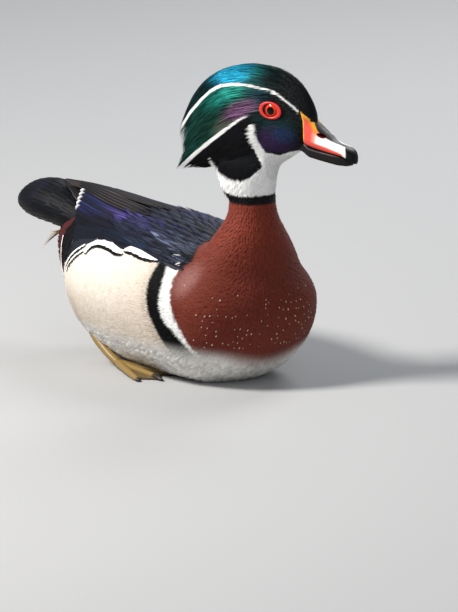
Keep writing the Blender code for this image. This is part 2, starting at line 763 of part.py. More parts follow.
def wing_pieces(side):
    """A folded wing: its pad, then primaries, secondaries, tertials, coverts and scapulars over one another."""
    pieces = [patch("wing", OUTER, side, np.linspace(60, -50, 13), WING_FOOT, WING_TOP, 7, -0.7, 3.2)]
    for root, tip, width in PRIMARIES:
        pieces.append(surface_vane("primary", OUTER, side, root, tip, width, (-2.2, -3.0), -0.3, (0.9, 0.7), 5,
                                   shape=(0.6, 1.0, 1.0, 0.85, 0.42)))
    for root, tip, width in SECONDARIES:
        pieces.append(surface_vane("secondary", OUTER, side, root, tip, width, (-1.2, -0.6), -0.4, (1.2, 0.8), 5, bow=3.5,
                                   shape=(0.6, 1.0, 1.0, 0.9, 0.45)))
    for root, tip, width in TERTIALS:
        pieces.append(surface_vane("tertial", OUTER, side, root, tip, width, (-1.2, -0.2), -0.45, (1.2, 0.8), 5,
                                   shape=(0.6, 1.0, 1.0, 0.95, 0.45)))
    for i in range(6):
        degrees = 45.5 + i * 6.8
        pieces.append(surface_vane("covert", OUTER, side, (8, degrees), (-24, degrees), 10.0, (-0.9, 0.45), -0.35,
                                   (1.6, 1.8), 4, shape=(0.6, 1.0, 1.0, 0.5)))
    for i in range(5):
        degrees = 47.0 + i * 7.0
        pieces.append(surface_vane("small_covert", OUTER, side, (44, degrees), (10, degrees), 11.0, (-0.9, 0.45),
                                   -0.35, (1.6, 1.8), 4, shape=(0.6, 1.0, 1.0, 0.5)))
    for i in range(4):
        degrees = 63.5 + i * 7.8
        pieces.append(surface_vane("scapular", OUTER, side, (22, degrees), (-36 - i * 4, degrees + 1.5), 14.0,
                                   (-0.6, 0.95), -0.4, (1.8, 2.4), 5, shape=(0.5, 0.95, 1.0, 0.85, 0.4)))
    return pieces


def room_under_wing(side):
    """The space that a folded wing needs over the rump and tail."""
    low = lambda x: float(np.interp(-x, (40, 80, 128), (46, 60, 70)))
    top, bottom = [], []
    for x in np.linspace(-60, -131, 10):
        upper, lower = [], []
        for t in np.linspace(0, 1, 7):
            here, normal, _ = surface_frame(OUTER, max(x, -129.5), low(x) + (92 - low(x)) * t, side)
            upper.append((x, *(here + normal * 6.0)[1:]))
            lower.append((x, *(here - normal * (3.9 + GAP))[1:]))
        top.append(upper)
        bottom.append(lower)
    return sheet_solid("room", top, bottom)


def tail_pieces():
    """The tail's core, twelve tail feathers, the coverts over and under them, and the hanging side plumes."""
    pieces = [loft("tail", table_rings(TAIL, np.linspace(-93, -139, 6), 14, -1.4))]
    for side in (-1, 1):
        for i in range(6):
            degrees, x = 83.0 - i * 16.0, -169.5 + 0.4 * i * i
            pieces.append(surface_vane("rectrix", TAIL, side, (-131, degrees), (x, degrees - 2), 8.0,
                                       (-1.5, -0.5), -0.4, (1.0, 0.8), 4, shape=(1.0, 1.0, 0.95, 0.5), highest=99))
        for i in range(3):
            degrees = 74.0 - i * 30.0
            pieces.append(surface_vane("over_covert", TAIL, side, (-108, degrees), (-146 + 3 * i, degrees - 2), 12.0,
                                       (-1.0, 0.5), -0.35, (1.6, 1.9), 4, shape=(0.7, 1.0, 0.9, 0.5), highest=99))
        for i in range(2):
            degrees = -72.0 + i * 34.0
            pieces.append(surface_vane("under_covert", TAIL, side, (-116, degrees), (-159 + 3 * i, degrees), 13.0,
                                       (-1.7, -0.2), 0.3, (1.2, 0.8), 4, shape=(0.7, 1.0, 0.9, 0.5), highest=99))
        line = mirrored([(-95.0, 11.5, 80.0), (-106.0, 19.5, 73.0), (-120.0, 22.0, 62.5)], side)
        pieces.append(lock("plume", *line, 4.2, 0.9, lambda p: unit([-0.3, p[1], 4.0]), 5, place=None))
    return pieces


# Crest locks of one side, each a root, a middle and a tip in the head's frame, and a width
CREST_LOCKS = (
    ((-30, 2.2, 25.2), (-57.5, 2.4, 12.5), (-74, 2.2, -11), 5.5),
    ((-30, 7.0, 23.6), (-57.5, 6.6, 11.0), (-75.5, 6.4, -17.5), 5.5),
    ((-30, 11.0, 20.0), (-57.5, 9.8, 6.2), (-76, 9.6, -24.5), 5.0),
    ((-31, 14.4, 12.6), (-57.5, 11.8, -3.8), (-74, 9.4, -30), 6.0),
    ((-31, 16.4, 4.0), (-57, 12.6, -12.5), (-73, 9.6, -36), 6.0),
    ((-31, 17.2, -5.0), (-57, 12.9, -20.5), (-74, 9.4, -42), 6.0),
    ((-31, 17.4, -13.0), (-57, 12.9, -28.0), (-81.5, 7.6, -52.5), 6.0),
    ((-31, 17.0, -22.0), (-55, 12.8, -34.5), (-74, 9.0, -48), 6.0),
    ((-31, 15.6, -31.0), (-52, 12.0, -39.5), (-69, 9.4, -47.5), 6.0),
    ((-30, 13.5, -38.0), (-47, 11.2, -43.5), (-62, 9.6, -46.0), 6.0),
    ((-34, 4.0, 22.5), (-64, 3.4, -6.0), (-73, 3.0, -36), 6.0),
    ((-40, 5.0, 18.5), (-68, 3.6, -16.0), (-74, 3.2, -45), 6.0),
)


def crest_pieces():
    """The crest's core, which ends half way to the tips, and its long flat locks."""
    pieces = [loft("crest", table_rings(CREST, np.linspace(-27, -55, 7), 20, -0.9, head_to_body))]
    for side in (-1, 1):
        for root, middle, tip, width in CREST_LOCKS:
            root, middle, tip = mirrored([root, middle, tip], side)
            pieces.append(lock("lock", root, middle, tip, width, 1.2, crest_out))
    return pieces


def seam_wall(side):
    """A thin wall between a folded wing and the flank under it."""
    top, bottom = [], []
    for x in np.linspace(70, -110, 46):
        upper, lower = [], []
        for turn in (-0.35, 0.35):
            here, normal, _ = surface_frame(OUTER, x, SEAM(x) + turn, side)
            upper.append(here + normal * 6.0)
            lower.append(here - normal * 8.0)
        top.append(upper)
        bottom.append(lower)
    return sheet_solid("seam_wall", top, bottom)


def build_plumage(core, feathers):
    for name, side in (("right", -1), ("left", 1)):
        wall = seam_wall(side)
        for node, pieces in (("wing_", wing_pieces(side)), ("flank_", flank_pieces(side))):
            made = combine(fuse(node + name, pieces), wall, "DIFFERENCE")
            dress(made, feathers)
        drop([wall])
    tail = fuse("tail", tail_pieces())
    combine(tail, core, "DIFFERENCE")
    for side in (-1, 1):
        room = room_under_wing(side)
        combine(tail, room, "DIFFERENCE")
        drop([room])
    dress(tail, feathers)
    crest = fuse("crest", crest_pieces())
    combine(crest, core, "DIFFERENCE")
    dress(crest, feathers)


def main():
    for obj in list(bpy.data.objects):
        bpy.data.objects.remove(obj, do_unlink=True)
    feathers = material("feathers", (0.12, 0.10, 0.10), 0.6)
    horn = material("bill_horn", (0.55, 0.12, 0.09), 0.35)
    skin = material("foot_skin", (0.45, 0.33, 0.12), 0.6)
    eye = material("eye_gloss", (0.35, 0.02, 0.01), 0.1)
    core = body_core("core", GAP)
    build_trunk(feathers)
    build_eyes(eye)
    build_bill(core, horn)
    build_legs(core, skin)
    build_plumage(core, feathers)
    drop([core])


main()
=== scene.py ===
# A drake wood duck as a life-size model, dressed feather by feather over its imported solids.
# Lengths in the tables are millimetres in the bird's own axes; MM and ORIGIN_X take them to the frame.

import math
from functools import partial

import bmesh
import bpy
import numpy as np
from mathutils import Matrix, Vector
from mathutils.bvhtree import BVHTree

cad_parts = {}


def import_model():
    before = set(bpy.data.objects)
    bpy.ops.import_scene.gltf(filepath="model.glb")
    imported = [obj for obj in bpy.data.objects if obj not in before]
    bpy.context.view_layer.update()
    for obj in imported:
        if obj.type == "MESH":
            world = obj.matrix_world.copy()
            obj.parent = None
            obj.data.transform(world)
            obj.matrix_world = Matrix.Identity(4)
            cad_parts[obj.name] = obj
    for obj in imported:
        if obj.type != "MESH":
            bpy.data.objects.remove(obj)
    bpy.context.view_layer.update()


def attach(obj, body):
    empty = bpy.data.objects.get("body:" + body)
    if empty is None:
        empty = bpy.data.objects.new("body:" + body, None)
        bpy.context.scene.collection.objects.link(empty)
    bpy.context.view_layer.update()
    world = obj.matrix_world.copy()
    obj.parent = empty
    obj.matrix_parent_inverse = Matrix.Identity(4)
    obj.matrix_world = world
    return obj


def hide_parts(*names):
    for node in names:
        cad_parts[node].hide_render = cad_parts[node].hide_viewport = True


MM = 0.001
ORIGIN_X = -1.9
WATERLINE = 42.0
HEAD_AT = np.array((110.2, 6.0, WATERLINE + 148.0))
HEAD_TURN = math.radians(20.0)
EYE_RADIUS = 7.4
EYE_SIDE = 8.4
RNG = np.random.default_rng(7)

HEAD_START = 128.0  # the height from which the coat is the head's
KEEL_GAP = 0.4  # the least height of the skin, and of feathers and feet
FLOOR_GAP = 0.05
NECK_RINGS, NECK_AROUND = 40, 64
EYE_ROWS, EYE_AROUND = 48, 64
PUPIL, IRIS = 22.0, 37.0  # degrees from the eye's axis
LID_AROUND, LID_SECTION = 120, 20
ROD_RINGS, ROD_AROUND = 40, 20
WEB_RINGS = 10
BASE_END = 29.0  # how far forward the bill's base fits the skin
NOSTRIL_X, NOSTRIL_Z = 34.7, -14.6
NOSTRIL_LONG, NOSTRIL_HIGH, NOSTRIL_SLOPE = 2.8, 1.05, 0.35
NOSTRIL_AROUND = 40
TRIES = 7  # random roots thrown for each cell
BATCH = 4000  # roots whose lie is worked out at once
ISLAND = 0.003  # a feather's size on the unwrapped sheet
CREST_STRANDS, CREST_WIDTH = 5200, 0.62
CREST_CORE = np.array((-44.0, 0.0, -18.0))
VANE_CAMBER = 0.12
BARB_DEPTH = 0.0002
BACK_GLOSS = 0.25
THROAT_SHADE = 0.86
SKIN_SHADE = 0.85

# Body stations: x, half width, top, bottom, height of the widest place, upper and lower squareness
TORSO = (
    (113.0, 0.5, 56.0, 52.0, 54.0, 2.0, 2.0),
    (111.0, 18.0, 69.0, 38.0, 54.0, 2.0, 2.0),
    (104.0, 35.5, 79.0, 23.0, 53.0, 2.0, 2.0),
    (95.0, 46.5, 85.5, 11.0, 52.0, 2.1, 2.1),
    (80.0, 54.0, 88.5, 2.0, 52.0, 2.1, 2.2),
    (60.0, 56.8, 88.8, -2.0, 53.0, 2.15, 2.3),
    (35.0, 57.6, 90.8, -3.5, 55.0, 2.25, 2.3),
    (5.0, 58.0, 93.2, -3.5, 56.0, 2.25, 2.3),
    (-25.0, 56.0, 94.6, -1.0, 56.0, 2.25, 2.2),
    (-55.0, 48.2, 94.6, 8.0, 57.0, 2.2, 2.1),
    (-80.0, 36.5, 92.5, 23.0, 60.0, 2.2, 2.0),
    (-100.0, 25.0, 87.0, 42.0, 64.0, 2.1, 2.0),
    (-114.0, 16.0, 83.0, 56.0, 69.0, 2.0, 2.0),
    (-122.0, 6.0, 78.0, 66.0, 72.0, 2.0, 2.0),
)
# The outer surface of the folded wings and flanks
OUTER = (
    (75.0, 57.5, 90.5, -4.0, 53.0, 2.15, 2.3),
    (40.0, 62.0, 94.5, -5.0, 55.0, 2.3, 2.3),
    (5.0, 63.5, 97.5, -5.0, 56.0, 2.3, 2.3),
    (-25.0, 61.5, 99.0, -3.0, 56.0, 2.3, 2.2),
    (-55.0, 53.5, 100.5, 4.0, 58.0, 2.25, 2.1),
    (-80.0, 42.0, 102.5, 18.0, 64.0, 2.2, 2.0),
    (-100.0, 29.0, 103.5, 36.0, 72.0, 2.2, 2.0),
    (-130.0, 11.0, 102.0, 60.0, 82.0, 2.0, 2.0),
)
TAIL = (
    (-92.0, 13.0, 88.0, 62.0, 76.0, 2.0, 2.0),
    (-104.0, 16.5, 93.0, 66.0, 80.0, 2.0, 2.0),
    (-116.0, 19.0, 97.0, 69.5, 83.0, 2.0, 2.0),
    (-129.0, 21.5, 100.5, 71.0, 85.0, 2.0, 2.0),
    (-142.0, 22.5, 102.0, 71.5, 86.0, 2.0, 2.0),
    (-152.5, 21.0, 100.5, 72.5, 86.0, 2.0, 2.0),
    (-160.5, 17.5, 96.5, 74.5, 85.0, 2.0, 2.0),
    (-166.0, 11.5, 91.5, 77.0, 84.0, 2.0, 2.0),
    (-170.0, 3.0, 86.0, 80.0, 83.0, 2.0, 2.0),
)
# Neck rings: z, x, y, half depth, half width
NECK = (
    (40.0, 74.0, 0.0, 26.0, 40.0),
    (66.0, 78.0, 0.0, 28.0, 42.0),
    (82.0, 79.5, 0.0, 27.5, 38.0),
    (92.0, 81.5, 0.0, 24.5, 33.0),
    (102.0, 83.5, 0.0, 21.5, 26.5),
    (114.0, 86.3, -0.5, 17.0, 18.6),
    (124.0, 86.3, -1.0, 16.0, 16.2),
    (132.0, 85.4, -1.8, 18.8, 17.0),
    (142.0, 84.3, -2.7, 24.8, 18.0),
    (154.0, 82.9, -3.5, 30.0, 18.0),
)
# Head and crest stations in the head's own frame, in the body stations' columns
HEAD = (
    (28.5, 0.6, -7.0, -9.4, -8.2, 2.0, 2.0),
    (27.2, 3.8, -2.5, -13.0, -7.5, 1.9, 2.0),
    (24.6, 6.6, 5.0, -18.0, -7.0, 1.85, 2.1),
    (20.4, 9.4, 12.2, -24.0, -8.5, 1.8, 2.1),
    (13.2, 12.5, 19.8, -30.0, -10.5, 1.8, 2.1),
    (4.0, 15.4, 24.5, -36.0, -12.5, 1.8, 2.1),
    (-8.0, 17.4, 26.7, -44.0, -14.0, 1.8, 2.1),
    (-20.0, 18.2, 26.9, -49.0, -14.0, 1.8, 2.1),
    (-33.0, 17.5, 25.2, -48.0, -12.0, 1.8, 2.0),
    (-45.0, 15.0, 20.0, -42.0, -10.0, 1.9, 2.0),
    (-55.0, 11.0, 12.0, -33.0, -9.0, 2.0, 2.0),
    (-61.0, 5.0, 4.0, -20.0, -9.5, 2.0, 2.0),
)
CREST = (
    (-26.0, 18.4, 26.4, -46.0, -12.0, 1.9, 2.0),
    (-38.0, 17.3, 24.4, -45.0, -12.0, 1.9, 2.0),
    (-48.0, 15.5, 19.0, -44.0, -12.0, 1.9, 2.0),
    (-58.0, 13.2, 10.0, -43.5, -14.0, 1.9, 2.0),
    (-66.0, 11.7, 1.0, -45.0, -20.0, 1.9, 2.0),
    (-72.0, 10.2, -8.0, -46.5, -27.0, 1.9, 2.0),
)
# Bill stations in the head's frame: x, half width, top, bottom
BILL_UPPER = (
    (13.0, 9.6, 0.5, -21.0),
    (19.0, 9.4, 0.0, -21.6),
    (25.0, 8.9, -5.2, -23.1),
    (30.6, 8.4, -9.8, -24.3),
    (36.2, 7.9, -13.8, -25.2),
    (41.8, 7.6, -17.8, -25.9),
    (46.5, 7.5, -19.8, -26.4),
    (51.2, 7.1, -20.9, -27.2),
    (54.9, 6.0, -22.4, -29.0),
    (57.7, 3.8, -25.0, -31.6),
    (58.8, 1.2, -28.0, -31.8),
)
BILL_LOWER = (
    (11.0, 8.0, -22.4, -28.6),
    (19.0, 7.9, -22.6, -29.6),
    (26.0, 7.6, -24.4, -31.0),
    (33.4, 7.2, -25.6, -32.2),
    (40.8, 6.9, -26.5, -33.2),
    (47.4, 6.4, -27.2, -33.9),
    (52.1, 5.0, -28.4, -33.9),
    (55.4, 2.0, -30.4, -33.2),
)


# Shapes


def curve_through(stations, at):
    """Each column of the stations at the given values of the first, with no overshoot."""
    table = np.array(sorted(stations, key=lambda row: row[0]), float)
    x = table[:, 0]
    step = np.diff(x)[:, None]
    slope = np.diff(table, axis=0) / step
    tangent = np.zeros_like(table)
    same = slope[1:] * slope[:-1] > 0
    safe = np.where(same, slope[1:] + slope[:-1], 1.0)
    tangent[1:-1] = np.where(same, 2 * slope[1:] * slope[:-1] / safe, 0.0)
    tangent[0], tangent[-1] = slope[0], slope[-1]
    at = np.clip(np.atleast_1d(np.asarray(at, float)), x[0], x[-1])
    i = np.clip(np.searchsorted(x, at) - 1, 0, len(x) - 2)
    h = (x[i + 1] - x[i])[:, None]
    t = (at[:, None] - x[i][:, None]) / h
    a, b = table[i], table[i + 1]
    ma, mb = tangent[i] * h, tangent[i + 1] * h
    t2, t3 = t * t, t * t * t
    return a * (2 * t3 - 3 * t2 + 1) + ma * (t3 - 2 * t2 + t) + b * (3 * t2 - 2 * t3) + mb * (t3 - t2)


def unit(v):
    v = np.asarray(v, float)
    return v / np.maximum(np.linalg.norm(v, axis=-1, keepdims=True), 1e-9)


def smooth(low, high, value):
    """A soft step from 0 at low to 1 at high; low may be the larger."""
    t = np.clip((np.asarray(value, float) - low) / (high - low), 0, 1)
    return t * t * (3 - 2 * t)


def surface(table, x, degrees, side):
    """Points on a table's surface at xs and at angles up from its side."""
    x, degrees = np.broadcast_arrays(np.asarray(x, float), np.asarray(degrees, float))
    shape = x.shape
    _, half, top, bottom, wide, upper, lower = curve_through(table, x.ravel()).T
    turn = np.radians(degrees.ravel())
    c, s = np.cos(turn), np.sin(turn)
    square = np.where(s > 0, upper, lower)
    y = np.sign(c) * np.abs(c) ** (2 / square) * half
    z = wide + np.sign(s) * np.abs(s) ** (2 / square) * np.where(s > 0, top - wide, wide - bottom)
    return np.stack([x.ravel(), side * y, z], axis=1).reshape(*shape, 3)


def surface_normal(table, x, degrees, side):
    """Outward normals of a table's surface, and its length along a degree."""
    along = surface(table, x + 0.5, degrees, side) - surface(table, x - 0.5, degrees, side)
    turn = surface(table, x, degrees + 0.5, side) - surface(table, x, degrees - 0.5, side)
    return unit(np.cross(along, turn)) * -side, np.linalg.norm(turn, axis=-1)


def turned(points, angle):
    """Points turned about the upright axis."""
    c, s = math.cos(angle), math.sin(angle)
    x, y, z = np.moveaxis(np.asarray(points, float), -1, 0)
    return np.stack([x * c - y * s, x * s + y * c, z], axis=-1)


def head_to_body(points):
    """Points in the head's own frame, placed on the bird."""
    return turned(points, HEAD_TURN) + HEAD_AT


def body_to_head(points):
    return turned(points - HEAD_AT, -HEAD_TURN)


def turned_to_body(vectors):
    return head_to_body(vectors) - HEAD_AT


def full_turn(count):
    """Angles evenly round a circle."""
    return np.linspace(0, 2 * math.pi, count, endpoint=False)


def table_rings(table, xs, around, by):
    turn = np.linspace(0, 360, around, endpoint=False)
    return grown(surface(table, xs[:, None], turn[None, :], 1), by)


def neck_rings(by):
    turn = full_turn(NECK_AROUND)
    rings = []
    for z, x, y, deep, half in curve_through(NECK, np.linspace(NECK[0][0], NECK[-1][0], NECK_RINGS)):
        ring = (x + deep * np.cos(turn), y + half * np.sin(turn), np.full(NECK_AROUND, z))
        rings.append(np.stack(ring, axis=1))
    return grown(np.array(rings), by)


def grown(rings, by):
    """Rings moved out along their surface by a distance."""
    across = np.roll(rings, -1, axis=1) - np.roll(rings, 1, axis=1)
    normal = unit(np.cross(np.gradient(rings, axis=0), across))
    if (normal * (rings - rings.mean(axis=1, keepdims=True))).sum() < 0:
        normal = -normal
    return rings + normal * by


def ring_faces(count, around, first=0):
    """Quads between rings, and a fan at each end whose points follow the rings."""
    faces = []
    pairs = [(j, (j + 1) % around) for j in range(around)]
    for low in range(first, first + (count - 1) * around, around):
        faces += [(low + j, low + k, low + around + k, low + around + j) for j, k in pairs]
    tip, end = first + count * around, first + (count - 1) * around
    for j, k in pairs:
        faces += [(first + j, tip, first + k), (end + j, end + k, tip + 1)]
    return faces


def add_loft(points, faces, rings):
    """Adds a closed body made of rings to lists of points and faces."""
    count, around = rings.shape[:2]
    faces += ring_faces(count, around, len(points))
    points += [*rings.reshape(-1, 3), rings[0].mean(0), rings[-1].mean(0)]


def to_frame(points):
    return (np.asarray(points, float) - np.array([ORIGIN_X, 0.0, 0.0])) * MM


def from_frame(points):
    return np.asarray(points, float) / MM + np.array([ORIGIN_X, 0.0, 0.0])


def new_object(name, points, faces, shade_smooth=True):
    mesh = bpy.data.meshes.new(name)
    mesh.from_pydata([tuple(p) for p in to_frame(points)], [], faces)
    mesh.validate()
    if shade_smooth:
        mesh.polygons.foreach_set("use_smooth", np.ones(len(mesh.polygons), bool))
    made = bpy.data.objects.new(name, mesh)
    bpy.context.scene.collection.objects.link(made)
    return made


def closed_object(name, points, faces):
    """A smooth object whose faces all look outward."""
    made = new_object(name, points, faces)
    work = bmesh.new()
    work.from_mesh(made.data)
    bmesh.ops.recalc_face_normals(work, faces=work.faces)
    work.to_mesh(made.data)
    work.free()
    return made


def loft_object(name, rings):
    points, faces = [], []
    add_loft(points, faces, rings)
    return closed_object(name, points, faces)


def read_all(items, key, size, kind=float):
    """One property of all of a mesh's items, as rows."""
    values = np.empty(len(items) * size, kind)
    items.foreach_get(key, values)
    return values.reshape(-1, size)


def object_points(obj):
    return from_frame(read_all(obj.data.vertices, "co", 3))


def move_points(mesh, co):
    mesh.vertices.foreach_set("co", co.ravel())
    mesh.update()


def apply_modifiers(obj):
    graph = bpy.context.evaluated_depsgraph_get()
    mesh = bpy.data.meshes.new_from_object(obj.evaluated_get(graph))
    obj.modifiers.clear()
    old = obj.data
    obj.data = mesh
    bpy.data.meshes.remove(old)


# The skin


SKIN_DEPTH = 1.4  # how far the skin lies inside the solids
HEAD_DEPTH = 1.0
CORE_DEPTH = 2.2
VOXEL = 1.4


def flank_blend_table():
    """The torso with the wings' and flanks' bulk, which fades out behind the flank."""
    xs = np.concatenate([np.linspace(113, 76, 16), np.linspace(72, -122, 60)])
    trunk, outer = curve_through(TORSO, xs), curve_through(OUTER, xs)
    share = (smooth(80, 62, xs) * smooth(-74, -50, xs))[:, None]
    mixed = trunk * (1 - share) + outer * share
    mixed[:, 0] = xs
    return [tuple(row) for row in mixed]


BODY = flank_blend_table()


def make_skin():
    """One closed skin over torso, neck, head, crest core and tail core."""
    points, faces = [], []
    for rings in (
        table_rings(BODY, np.linspace(112.9, -121.9, 120), 110, -SKIN_DEPTH),
        neck_rings(-SKIN_DEPTH + 0.2),
        head_to_body(table_rings(HEAD, np.linspace(31.4, -60.9, 60), 72, -HEAD_DEPTH)),
        head_to_body(table_rings(CREST, np.linspace(-27, -60, 26), 60, -CORE_DEPTH)),
        table_rings(TAIL, np.linspace(-92.5, -166.0, 46), 48, -CORE_DEPTH),
    ):
        add_loft(points, faces, rings)
    skin = closed_object("skin", points, faces)
    remesh = skin.modifiers.new("remesh", "REMESH")
    remesh.mode = "VOXEL"
    remesh.voxel_size = VOXEL * MM
    remesh.use_smooth_shade = True
    apply_modifiers(skin)
    relax(skin, 14)
    relax(skin, 90, breast_fold)
    relax(skin, 60, nape_ledge)
    rest_on_floor(skin)
    return skin


def rest_on_floor(obj):
    """Flattens what would go under the floor."""
    points = object_points(obj)
    points[:, 2] = np.maximum(points[:, 2], KEEL_GAP)
    move_points(obj.data, to_frame(points))


def breast_fold(points):
    """1 where the neck runs into the breast, which has no fold there."""
    x, _, z = points.T
    return smooth(48, 62, x) * smooth(54, 68, z) * smooth(124, 114, z)


def nape_ledge(points):
    """1 where the cheeks and the crest's root run into the neck."""
    x, _, z = body_to_head(points).T
    return smooth(-52, -42, x) * smooth(2, -8, x) * smooth(-56, -50, z) * smooth(-24, -31, z)


def relax(obj, rounds, where=None):
    """Evens a mesh out without shrinking it much, or smooths it fully where a function says."""
    co = read_all(obj.data.vertices, "co", 3)
    a, b = read_all(obj.data.edges, "vertices", 2, np.int32).T
    degree = np.bincount(np.concatenate([a, b]), minlength=len(co))[:, None]
    strengths = (0.5 * where(from_frame(co))[:, None],) if where else (0.55, -0.56)
    for _ in range(rounds):
        for strength in strengths:
            total = np.zeros_like(co)
            np.add.at(total, a, co[b])
            np.add.at(total, b, co[a])
            co = co + strength * (total / degree - co)
    move_points(obj.data, co)


class Body:
    """The skin as arrays and as a tree to drop points on."""

    def __init__(self, obj):
        mesh = obj.data
        mesh.calc_loop_triangles()
        self.points = object_points(obj)
        self.triangles = read_all(mesh.loop_triangles, "vertices", 3, np.int32)
        corners = [tuple(corner) for corner in self.triangles]
        self.tree = BVHTree.FromPolygons([tuple(point) for point in self.points], corners)
        self.normals = read_all(mesh.vertices, "normal", 3)

    def drop(self, points):
        """The nearest points on the skin and smooth normals there."""
        hits = [self.tree.find_nearest(Vector(p)) for p in points.reshape(-1, 3)]
        found = np.array([hit[0] for hit in hits]).reshape(points.shape)
        corners = self.triangles[np.array([hit[2] for hit in hits])]
        return found, unit(self.normals[corners].mean(axis=1)).reshape(points.shape)

    def sample(self, wanted, spacing):
        """Roots spread evenly, about a spacing apart, where wanted(points) holds."""
        a, b, c = (self.points[self.triangles[:, i]] for i in range(3))
        keep = wanted((a + b + c) / 3)
        a, b, c = a[keep], b[keep], c[keep]
        area = np.linalg.norm(np.cross(b - a, c - a), axis=1) / 2
        count = int(area.sum() / spacing**2 * TRIES)
        pick = RNG.choice(len(a), count, p=area / area.sum())
        r1, r2 = np.sqrt(RNG.random(count))[:, None], RNG.random(count)[:, None]
        points = a[pick] * (1 - r1) + b[pick] * r1 * (1 - r2) + c[pick] * r1 * r2
        cell = np.floor(points / spacing).astype(int)
        off = np.linalg.norm(points / spacing - cell - 0.5, axis=1)
        order = np.lexsort((off, cell[:, 2], cell[:, 1], cell[:, 0]))
        cell = cell[order]
        first = np.ones(len(order), bool)
        first[1:] = (cell[1:] != cell[:-1]).any(axis=1)
        return points[order[first]]


# How the coat lies: places and directions, the first set in the head's frame, for the right side


LIE_HEAD = (
    ((25, -4, 6), (-0.6, 0, 0.8)), ((14, -6, 19), (-0.95, 0, 0.3)), ((-8, -8, 25), (-1, 0, 0)),
    ((-30, -8, 21), (-0.95, 0, -0.3)), ((-50, -8, 10), (-0.7, 0, -0.7)),
    ((22, -9, -4), (-0.95, -0.2, 0.15)), ((5, -13, -12), (-1, 0, -0.1)), ((0, -13, 9), (-1, 0, 0.1)),
    ((-12, -17, 0), (-1, 0, -0.05)), ((-28, -17, 0), (-0.97, 0, -0.25)),
    ((-42, -14, -8), (-0.85, 0, -0.5)), ((-45, -12, -28), (-0.75, 0, -0.65)),
    ((0, -14, -22), (-0.9, 0, -0.4)), ((-12, -14, -32), (-0.8, 0, -0.6)),
    ((-28, -15, -34), (-0.75, 0, -0.65)), ((16, -3, -27), (-0.9, 0, -0.4)),
    ((2, -3, -38), (-0.6, 0, -0.8)), ((-42, -8, -44), (-0.4, 0, -0.9)),
    ((-20, -15, -50), (-0.3, 0, -0.95)), ((-8, 0, -60), (0, 0, -1)),
)
LIE_BODY = (
    ((102, 0, 118), (0.1, 0, -1)), ((86, -17, 116), (-0.15, 0, -1)), ((70, -6, 112), (-0.5, 0, -0.85)),
    ((108, -8, 78), (0, -0.1, -1)), ((85, -50, 62), (-0.8, -0.1, -0.5)),
    ((84, -36, 92), (-0.5, -0.35, -0.75)), ((100, -30, 50), (-0.5, -0.5, -0.7)),
    ((95, -5, 18), (-0.7, 0, -0.7)), ((66, -50, 82), (-0.9, 0, -0.4)), ((60, -10, 104), (-1, 0, 0)),
    ((0, -10, 105), (-1, 0, 0)), ((-90, -8, 92), (-1, 0, -0.05)), ((50, -60, 60), (-1, 0, -0.12)),
    ((0, -62, 60), (-1, 0, 0.03)), ((-45, -54, 62), (-0.95, 0, 0.25)), ((0, -50, 18), (-1, 0, 0)),
    ((40, -5, -3), (-1, 0, 0)), ((-40, -5, 2), (-1, 0, 0)), ((-90, -10, 38), (-0.85, 0, 0.5)),
    ((-85, -30, 65), (-0.95, 0, 0.2)), ((-110, -12, 75), (-1, 0, 0.15)),
)


def lie_guides():
    """The guides on both sides of the bird."""
    places, ways = [], []
    for side in (1, -1):
        flip = np.array((1, side, 1))
        for place, way in LIE_HEAD:
            places.append(head_to_body(np.array(place) * flip))
            ways.append(turned_to_body(np.array(way) * flip))
        for place, way in LIE_BODY:
            places.append(np.array(place) * flip)
            ways.append(np.array(way) * flip)
    return np.array(places, float), unit(np.array(ways, float))


LIE_PLACES, LIE_WAYS = lie_guides()


def lie(points, normals):
    """The way feathers point at places on the skin."""
    out = np.empty_like(points)
    for start in range(0, len(points), BATCH):
        p = points[start:start + BATCH]
        gap = ((p[:, None, :] - LIE_PLACES[None]) ** 2).sum(axis=2) + 4.0
        share = gap ** -2.0
        out[start:start + BATCH] = share @ LIE_WAYS / share.sum(axis=1, keepdims=True)
    out -= normals * (out * normals).sum(axis=1, keepdims=True)
    return unit(out)


# Markings. Each curve is x and z, unless it says otherwise, on the side of the head or body


BLACK = (0.0035, 0.0035, 0.0045)
WHITE = (0.86, 0.86, 0.84)
CHESTNUT = (0.165, 0.027, 0.014)
BUFF = (0.78, 0.71, 0.62)
MAROON = (0.075, 0.017, 0.018)
UNDER_WING = (0.010, 0.011, 0.018)
LID_RIM = (0.20, 0.010, 0.008)
BILL_DARK = (0.008, 0.006, 0.006)
NOSTRIL_COLOUR = (0.10, 0.008, 0.007)

UPPER_LINE = (
    (18.5, -0.2), (15, 2.8), (10.4, 5.9), (5, 9.3), (-0.4, 12.2), (-10.8, 13.8), (-20, 14.3),
    (-30.7, 13.9), (-40.5, 12.0), (-49.3, 7.2), (-57, 0.2), (-66, -9.2), (-74, -20),
)
LOWER_LINE = (
    (-16.5, -5.0), (-20, -6.8), (-25.6, -10.5), (-36.2, -17.9), (-46.5, -25.3), (-57, -33.2),
    (-68, -42), (-80, -52),
)
# The painted lines: curve, half width, what it gains and where along the curve, and where the line starts
WHITE_LINES = (
    (UPPER_LINE, 0.45, 0.42, (0.35, 0.8), 0.004),
    (LOWER_LINE, 0.15, 1.0, (0.0, 0.55), -1.0),
)
